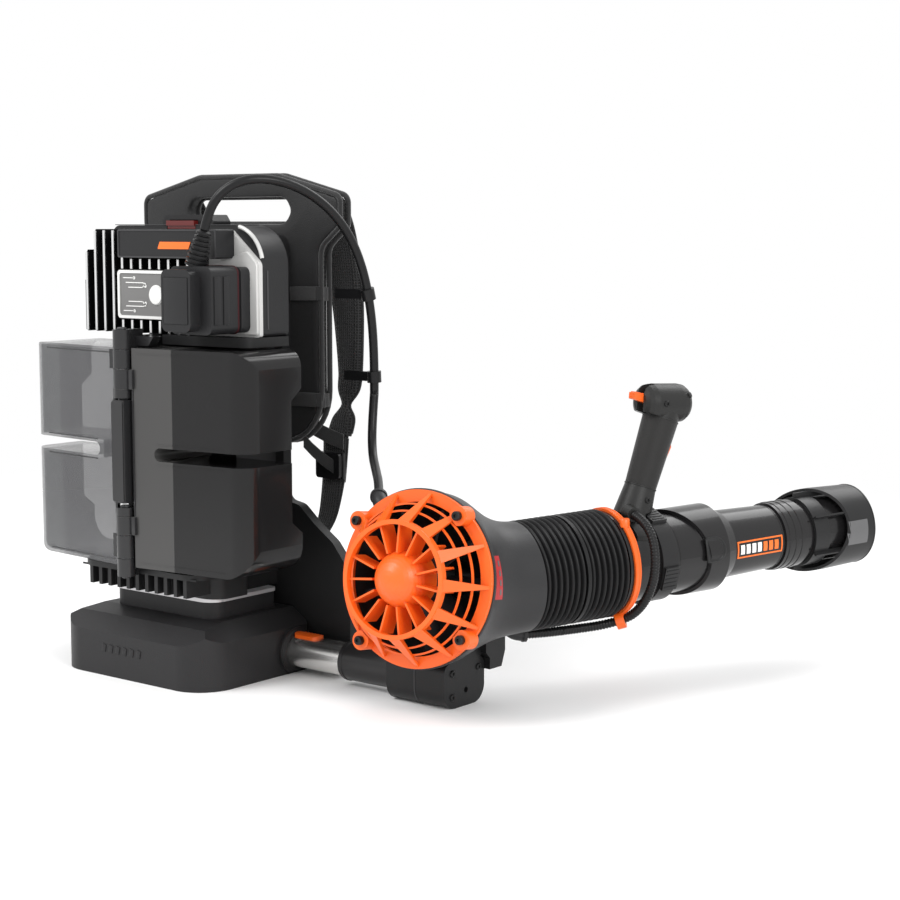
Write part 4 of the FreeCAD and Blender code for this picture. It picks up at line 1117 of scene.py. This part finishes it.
def stuffed(source, voxel, shrink, cap, pressure):
    """Inflates a copy of a plain solid with cloth held at its side walls, so that its faces crown."""
    mesh = source.data.copy()
    shape = bmesh.new()
    shape.from_mesh(mesh)
    bmesh.ops.remove_doubles(shape, verts=shape.verts, dist=1e-5)
    shape.to_mesh(mesh)
    shape.free()
    mesh.materials.clear()
    obj = placed("stuffing", mesh)
    remesh = obj.modifiers.new("voxels", "REMESH")
    remesh.mode, remesh.voxel_size = "VOXEL", voxel
    bake_modifiers(obj)
    normals = np.array([v.normal for v in obj.data.vertices])
    start = np.array([v.co for v in obj.data.vertices])
    begin = start - normals * shrink
    obj.data.vertices.foreach_set("co", begin.ravel())
    smooth = obj.modifiers.new("soften", "SMOOTH")
    smooth.iterations, smooth.factor = 6, 0.5
    bake_modifiers(obj)
    begin = np.array([v.co for v in obj.data.vertices])
    group = obj.vertex_groups.new(name="held")
    for k, normal in enumerate(normals):
        if abs(normal[1]) < 0.75:
            group.add([k], 1.0, "REPLACE")
    cloth = obj.modifiers.new("cloth", "CLOTH")
    settings = cloth.settings
    settings.quality, settings.mass = 6, 0.25
    settings.tension_stiffness = settings.compression_stiffness = 18
    settings.use_pressure, settings.uniform_pressure_force = True, pressure
    settings.effector_weights.gravity = 0
    settings.vertex_group_mass = "held"
    scene = bpy.context.scene
    for step in range(1, 21):
        scene.frame_set(step)
    bake_modifiers(obj)
    scene.frame_set(1)
    ends = np.array([v.co for v in obj.data.vertices])
    move = ends - begin
    size = np.linalg.norm(move, axis=1)
    keep = np.minimum(1, cap / np.maximum(size, 1e-9))
    obj.data.vertices.foreach_set("co", (begin + move * keep[:, None]).ravel())
    return obj


def bake_modifiers(obj):
    mesh = evaluated_mesh(obj)
    obj.modifiers.clear()
    obj.data = mesh


def pad_dents(co):
    """Sewn channels across the pad's front and down its spine, and a flat rear against the frame."""
    front = co[:, 1] > 0.108
    for z in PAD_CHANNELS:
        near = np.exp(-((co[:, 2] - z) / 0.0035) ** 2) * (np.abs(co[:, 0]) < 0.101)
        co[:, 1] -= near * front * 0.0042
    spine = np.exp(-(co[:, 0] / 0.016) ** 2) * (co[:, 2] < 0.452) * (co[:, 2] > 0.262)
    co[:, 1] -= spine * front * 0.0055
    co[:, 1] = np.clip(co[:, 1], PAD_REAR, None)
    return co


def back_pad():
    pad = stuffed(NODES["back_pad"], 0.0042, 0.0008, 0.0065, 5.0)
    divide = pad.modifiers.new("soften", "SUBSURF")
    divide.levels = divide.render_levels = 1
    bake_modifiers(pad)
    dented = pad_dents(np.array([v.co for v in pad.data.vertices]))
    pad.data.vertices.foreach_set("co", dented.ravel())
    pad.data.update()
    pad.name = pad.data.name = "back_pad_stuffed"
    pad.data.materials.clear()
    pad.data.materials.append(FINISH["pad"])
    pad.data.shade_smooth()
    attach(pad, "pack")
    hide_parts("back_pad")
    tree = face_tree(pad.data)

    def face_point(p, lift):
        hit = tree.ray_cast(Vector((p.x, 0.16, p.y)), -Y)[0]
        return Vector((p.x, (hit.y if hit else PAD_FRONT) + lift, p.y))

    def piping(shape):
        for y, r in ((PAD_FRONT - 0.0022, 0.0030), (PAD_REAR + 0.0030, 0.0028)):
            tube_along(shape, at_depth(pad_outline(-0.0012), y), r, 10, True, 1, Y)
        tube_along(shape, at_depth(hole_outline(0.0008), PAD_FRONT - 0.002), 0.0026, 10, True, 1, Y)
    piece("pad_piping", as_mesh(piping, "pad_piping"), "pack", "piping")
    for outline, name in ((pad_outline(0.0085), "pad_edge"), (hole_outline(0.0075), "pad_grip")):
        stitched(f"{name}_stitches", [face_point(p, 0.0004) for p in outline], 0.0048, "pack",
                 True)
    for k, z in enumerate(PAD_CHANNELS):
        for side in (-1, 1):
            ends = [Vector((side * (0.020 + 0.0058 * i), z)) for i in range(14)]
            stitched(f"pad_channel_{k}_{side_name(side)}", [face_point(p, 0.0003) for p in ends], 0.0048,
                     "pack")
    stitched("pad_side_stitches", at_depth(pad_outline(-0.0010), PAD_REAR + 0.0088), 0.0055, "pack",
             True)


STITCH_LENGTH, STITCH_R = 0.0030, 0.00042


def stitch_pattern():
    """One raised stitch along Z."""
    def build(shape):
        turns = [2 * math.pi * i / 6 for i in range(6)]
        rings = []
        for z, r in ((-0.5, 0.25), (-0.35, 0.9), (0, 1.0), (0.35, 0.9), (0.5, 0.25)):
            r *= STITCH_R
            rings.append([Vector((r * math.cos(a), r * math.sin(a), z * STITCH_LENGTH)) for a in turns])
        add_loft(shape, rings)
    return as_mesh(build, "stitch")


def stitched(name, points, step, body, cyclic=False):
    return rib_row(name, stitch_pattern(), points, step, body, "thread", cyclic)


STRAP_LINE = [(0.121, 0.506), (0.136, 0.480), (0.147, 0.441), (0.152, 0.398), (0.152, 0.354), (0.149, 0.311),
              (0.141, 0.275), (0.136, 0.250)]


def smooth_line(points, count):
    """Even points on a smooth curve through (y, z) points."""
    points = [Vector(p) for p in points]
    out = []
    spans = len(points) - 1
    for k in range(count + 1):
        t = k / count * spans
        i = min(int(t), spans - 1)
        u = t - i
        p0, p1 = points[max(i - 1, 0)], points[i]
        p2, p3 = points[i + 1], points[min(i + 2, spans)]
        out.append(0.5 * ((2 * p1) + (p2 - p0) * u + (2 * p0 - 5 * p1 + 4 * p2 - p3) * u * u
                          + (3 * p1 - p0 - 3 * p2 + p3) * u ** 3))
    return out


STRAP_STEPS, PINCH_AT, STRAP_THICK = 72, 0.82, 0.0062
TAIL_X, TAIL_STEPS, BUCKLE_X = 0.1085, 30, 0.1090


def squarer(value, power):
    """Sine or cosine pushed outwards, so that a round section turns squarer."""
    return math.copysign(abs(value) ** power, value)


def strap_frame(line, k):
    """Place and outward normal of a strap's middle line, in the (y, z) plane."""
    a, b = line[max(k - 1, 0)], line[min(k + 1, len(line) - 1)]
    ahead = (b - a).normalized()
    return line[k], Vector((-ahead.y, ahead.x)) * -1


def shoulder_strap(side):
    """Padded strap: wide at the shoulder, pinched where it turns, wide again to the buckle."""
    label = side_name(side)
    line = smooth_line(STRAP_LINE, STRAP_STEPS)

    def spread(t):
        """Middle and half width across the strap, along its length."""
        pinch = math.exp(-((t - PINCH_AT) / 0.045) ** 2)
        outer = 0.1325 - 0.011 * pinch - 0.004 * max(0, (t - 0.86) / 0.14)
        inner = 0.0825 + 0.010 * pinch + 0.020 * min(1, max(0, (t - 0.25) / 0.45))
        inner -= 0.006 * max(0, (t - 0.86) / 0.14)
        return (inner + outer) / 2, (outer - inner) / 2

    def thickness(t):
        return STRAP_THICK * (1 - 0.35 * math.exp(-((t - PINCH_AT) / 0.03) ** 2))

    def build(shape):
        rings = []
        for k in range(STRAP_STEPS + 1):
            t = k / STRAP_STEPS
            (y, z), normal = strap_frame(line, k)
            middle, w = spread(t)
            thick = thickness(t) * (1 + 0.05 * math.sin(k * 1.9) * (0.5 + 0.5 * math.cos(k * 0.7)))
            ring = []
            for i in range(28):
                a = 2 * math.pi * i / 28
                x = squarer(math.cos(a), 0.55) * w
                d = squarer(math.sin(a), 0.75) * thick * (1 - 0.12 * (x / w) ** 2)
                ring.append(Vector((side * (middle + x), y + normal.x * d, z + normal.y * d)))
            rings.append(ring)
        add_loft(shape, rings)
    obj = piece(f"shoulder_strap_{label}_stuffed", as_mesh(build, "strap"), "pack", "mesh", 0)
    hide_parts(f"shoulder_strap_{label}")

    def edge(shape):
        for x_side in (-1, 1):
            path = []
            for k in range(2, STRAP_STEPS - 1):
                middle, w = spread(k / STRAP_STEPS)
                path.append(Vector((side * (middle + x_side * (w + 0.0002)), *line[k])))
            tube_along(shape, path, 0.0017, 8, False, 1.2, X)
    piece(f"strap_{label}_binding", as_mesh(edge, "binding"), "pack", "piping")
    for x_side in (-1, 1):
        path = []
        for k in range(3, STRAP_STEPS - 2):
            (y, z), normal = strap_frame(line, k)
            middle, w = spread(k / STRAP_STEPS)
            x = x_side * (w - 0.0042)
            d = thickness(k / STRAP_STEPS) * 0.97
            path.append(Vector((side * (middle + x), y + normal.x * d, z + normal.y * d)))
        stitched(f"strap_{label}_stitches_{'outer' if x_side > 0 else 'inner'}", path, 0.0045, "pack")


LOWER_LINE = [(0.136, 0.2496), (0.134, 0.222), (0.129, 0.190), (0.120, 0.160), (0.104, 0.140)]


def ribbon(shape, points, across, half, thick):
    """Flat webbing along close points, its width along one direction."""
    section = ((-1, -0.6), (-0.94, -1), (0.94, -1), (1, -0.6), (1, 0.6), (0.94, 1), (-0.94, 1), (-1, 0.6))
    rings = []
    for i, point in enumerate(points):
        ahead = (points[min(i + 1, len(points) - 1)] - points[max(i - 1, 0)]).normalized()
        normal = ahead.cross(across).normalized()
        rings.append([point + across * half * u + normal * thick * d for u, d in section])
    add_loft(shape, rings)


def lower_strap(side):
    """Padded tail under the shoulder strap, its webbing, and the ladder buckle over both."""
    label = side_name(side)
    line = smooth_line(LOWER_LINE, TAIL_STEPS)
    path = [Vector((side * TAIL_X, p.x - 0.0004, p.y)) for p in line]

    def half_width(k):
        return 0.0168 - 0.0085 * (k / TAIL_STEPS) ** 1.5

    def tail(shape):
        """Narrows down to the frame, with shallow pleats across it."""
        rings = []
        for k in range(TAIL_STEPS + 1):
            normal = strap_frame(line, k)[1]
            thick = (0.0046 - 0.0026 * k / TAIL_STEPS) * (1 + 0.10 * math.sin(k * 2.4))
            ring = []
            for i in range(24):
                a = 2 * math.pi * i / 24
                x = squarer(math.cos(a), 0.55) * half_width(k)
                d = squarer(math.sin(a), 0.75) * thick
                ring.append(path[k] + Vector((x, normal.x * d, normal.y * d)))
            rings.append(ring)
        add_loft(shape, rings)
    obj = piece(f"lower_strap_{label}_tail", as_mesh(tail, "tail"), "pack", "mesh", 0)
    if side > 0:
        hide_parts("lower_straps")

    def build(shape):
        ribbon(shape, [p + Vector((0, 0.0062, 0)) for p in path[:14]], X, 0.0120, 0.0010)
    piece(f"lower_strap_{label}_webbing", as_mesh(build, "webbing"), "pack", "webbing", 30)

    def tail_edge(shape):
        for x_side in (-1, 1):
            rim = [path[k] + X * x_side * half_width(k) for k in range(1, TAIL_STEPS)]
            tube_along(shape, rim, 0.0014, 8, False, 1.2, X)
    piece(f"lower_strap_{label}_binding", as_mesh(tail_edge, "binding"), "pack", "piping")

    def hardware(shape):
        """Cross bars, side rails and a lifted tab."""
        x = side * BUCKLE_X
        for z in (0.2065, 0.2170, 0.2285):
            add_box(shape, (x - 0.0165, 0.1262, z - 0.0017), (x + 0.0165, 0.1306, z + 0.0017), 0.0008)
        for rail in (x - 0.0158, x + 0.0158):
            add_box(shape, (rail - 0.0022, 0.1250, 0.2035), (rail + 0.0022, 0.1300, 0.2320), 0.001)
        add_box(shape, (x - 0.012, 0.1290, 0.2150), (x + 0.012, 0.1315, 0.2240), 0.001)
    piece(f"buckle_{label}_bars", as_mesh(hardware, "bars"), "pack", "buckle")


def side_webbing():
    """Webbing bands round the pad's edge, and the cross and brace webs under it, both sides."""
    for side in (-1, 1):
        def build(shape, side=side):
            for z in (0.405, 0.291):
                band = [Vector((side * x, y, z + rise)) for x, y, rise in
                        ((0.0795, 0.0952, 0), (0.1000, 0.0950, 0.0006), (0.1180, 0.0950, 0.0010),
                         (0.1216, 0.0972, 0.0010), (0.1224, 0.1030, 0.0005), (0.1216, 0.1110, 0))]
                ribbon(shape, band, Z, 0.0075, 0.0009)
            cross = [Vector((side * x, y, z)) for x, y, z in
                     ((0.084, 0.1160, 0.262), (0.094, 0.1190, 0.2570), (0.104, 0.1225, 0.2520),
                      (0.114, 0.1265, 0.2475), (0.124, 0.1300, 0.2440))]
            ribbon(shape, cross, Z, 0.0085, 0.0011)
            brace = [Vector((side * x, y, z)) for x, y, z in
                     ((0.092, 0.1010, 0.246), (0.100, 0.1060, 0.2360), (0.108, 0.1120, 0.2270),
                      (0.116, 0.1190, 0.2190), (0.122, 0.1260, 0.2120))]
            ribbon(shape, brace, Z, 0.0075, 0.0010)
        name = f"side_webbing_{side_name(side)}"
        piece(name, as_mesh(build, name), "pack", "webbing", 30)


# ---- cords ----------------------------------------------------------------------------------
CABLE_D, CONDUIT_D = 0.0095, 0.0100
GROOVE_PITCH, GROOVE_DEPTH = 0.0032, 0.0009
RELIEF_TOP = RELIEF_FOOT + RELIEF_LEAN * RELIEF_LENGTH
CABLE_ROUTE = [RELIEF_TOP, RELIEF_TOP + RELIEF_LEAN * 0.019] + [Vector(p) * MM for p in (
    (111.9, -42.6, 507.8), (124.2, -32.9, 519.4), (137, -18.5, 524.8), (150.5, 3.6, 523.2),
    (162.7, 31.4, 513.3), (171.7, 60.2, 493.7), (176.3, 85.3, 465.6), (177.6, 104.6, 428.3),
    (176.2, 117.5, 384.1), (174.3, 123.7, 336.6), (172, 126, 300))]
DROP_ROUTE = [Vector(p) * MM for p in ((172, 126, 300), (172, 122, 266), (186, 106, 238), (212, 82, 224),
                                       (240, 54, 216), (262, 28, 205))]
CONDUIT_ROUTE = [duct_mm(*p) for p in (
    (27, 126.5, 50.5), (39, 126, 48), (49.5, 126.5, 41.5), (56.5, 127.5, 31), (59.5, 128, 17.5),
    (59.5, 128, 2), (56.5, 127, -14.5), (50, 124.5, -30), (39.5, 121, -44.5), (26, 115.5, -55.5),
    (11, 96, -62.5), (3, 73, -64), (1, 51, -63.5))]
REAR_ROUTE = [duct_mm(*p) for p in ((1, 51, -63.5), (-1, 26, -63), (-6, 2, -61))]


def route_points(route):
    """The route's own smooth line, as close points."""
    obj = curve_object("line", route, "NURBS")
    points = [v.co.copy() for v in evaluated_mesh(obj).vertices]
    bpy.data.objects.remove(obj)
    return points


def path_length(points):
    return sum((b - a).length for a, b in zip(points, points[1:]))


def smooth_cord(name, route, diameter, finish_name, body, node, blend=None,
                ribs=0.0):
    """A cord along its route; ribs is the pitch of its grooves."""
    points = route_points(route)
    if ribs:
        points = even_points(points, ribs / 4)

    def build(shape):
        rings = []
        across = (points[1] - points[0]).normalized().orthogonal().normalized()
        for i, point in enumerate(points):
            ahead = (points[min(i + 1, len(points) - 1)] - points[max(i - 1, 0)]).normalized()
            across = (across - ahead * across.dot(ahead)).normalized()
            lift = ahead.cross(across)
            groove = GROOVE_DEPTH * (0.0, 0.35, 1.0, 0.35)[(i + 2) % 4] if ribs else 0
            rings.append([point + (across * math.cos(a) + lift * math.sin(a)) * (diameter / 2 - groove)
                          for a in (2 * math.pi * k / 20 for k in range(20))])
        add_loft(shape, rings)
    obj = piece(name, as_mesh(build, name), body, finish_name, 0)
    if blend:
        obj.parent = None
        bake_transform(obj)
    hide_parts(node)
    return obj


def even_points(points, step):
    """Points at even steps along a line of close points."""
    total = path_length(points)
    count = max(2, round(total / step))
    out, k, gone = [points[0].copy()], 0, 0.0
    for i in range(1, count):
        want = total * i / count
        while gone + (points[k + 1] - points[k]).length < want:
            gone += (points[k + 1] - points[k]).length
            k += 1
        part = (want - gone) / (points[k + 1] - points[k]).length
        out.append(points[k].lerp(points[k + 1], part))
    return out + [points[-1].copy()]


def cords():
    smooth_cord("power_cable", CABLE_ROUTE, CABLE_D, "cable", "pack", "cable_run")
    smooth_cord("power_cable_drop", DROP_ROUTE, CABLE_D, "cable", "blower", "cable_drop",
                blend=("pack", "blower", DROP_ROUTE[1], DROP_ROUTE[-1]))
    rear = smooth_cord("grip_conduit_rear", REAR_ROUTE, CONDUIT_D, "conduit", "blower",
                       "conduit_rear",
                       ("blower", "bellows_mid", duct_mm(0, 4, -61), duct_mm(0, 51, -63)), GROOVE_PITCH)
    smooth_cord("grip_conduit", CONDUIT_ROUTE, CONDUIT_D, "conduit", "wand", "conduit",
                ("bellows_mid", "wand", duct_mm(0, 51, -63), duct_mm(0, 100, -60)), GROOVE_PITCH)


# ---- studio ---------------------------------------------------------------------------------
LAMP_AIM = Vector((0.2, 0.1, 0.2))


def studio():
    mesh = bpy.data.meshes.new("studio_floor")
    mesh.from_pydata([(-30, -30, 0), (30, -30, 0), (30, 30, 0), (-30, 30, 0)], [], [(0, 1, 2, 3)])
    floor = placed("studio_floor", mesh)
    mesh.materials.append(FINISH["floor"])
    world = bpy.data.worlds.new("studio")
    world.use_nodes = True
    set_values(world.node_tree.nodes["Background"], Color=(1, 1, 1, 1), Strength=1.0)
    bpy.context.scene.world = world
    bpy.context.scene.view_settings.view_transform = "Standard"
    for name, place, size, power in (("key", (-0.6, -1.5, 2.0), 1.1, 30), ("side", (2.0, -0.5, 1.1), 0.8, 16),
                                     ("back", (0.4, 1.9, 1.8), 1.2, 14)):
        data = bpy.data.lights.new(name, "AREA")
        data.size, data.energy = size, power
        lamp = placed(name, data)
        lamp.location = place
        lamp.rotation_euler = (LAMP_AIM - Vector(place)).to_track_quat("-Z", "Y").to_euler()
    data = bpy.data.cameras.new("view")
    data.lens, data.sensor_width = 75.42, 36.0
    camera = placed("view", data)
    camera.location = (1.4834, -1.3918, 0.4785)
    camera.rotation_euler = (math.radians(90 - 6.81), 0, math.radians(38.52))
    bpy.context.scene.camera = camera


def main():
    studio()
    cords()
    paint_cad()
    base_details()
    comb_details()
    spine_details()
    door_details(1)
    door_details(-1)
    battery_details()
    hub_details()
    plug_details()
    relief()
    arm_details()
    fan_details()
    fan_labels()
    inlet_boss("cable_inlet", DROP_ROUTE, at_fan((0, 0.020, 0)) - DROP_ROUTE[-1], 0.0078)
    inlet_boss("conduit_inlet", REAR_ROUTE, DUCT_TURN @ Vector((0, -0.82, 0.57)), 0.0070)
    hose()
    wand_details()
    wand_label()
    nozzle_details()
    handle_details()
    back_pad()
    for side in (-1, 1):
        shoulder_strap(side)
        lower_strap(side)
    side_webbing()


main()
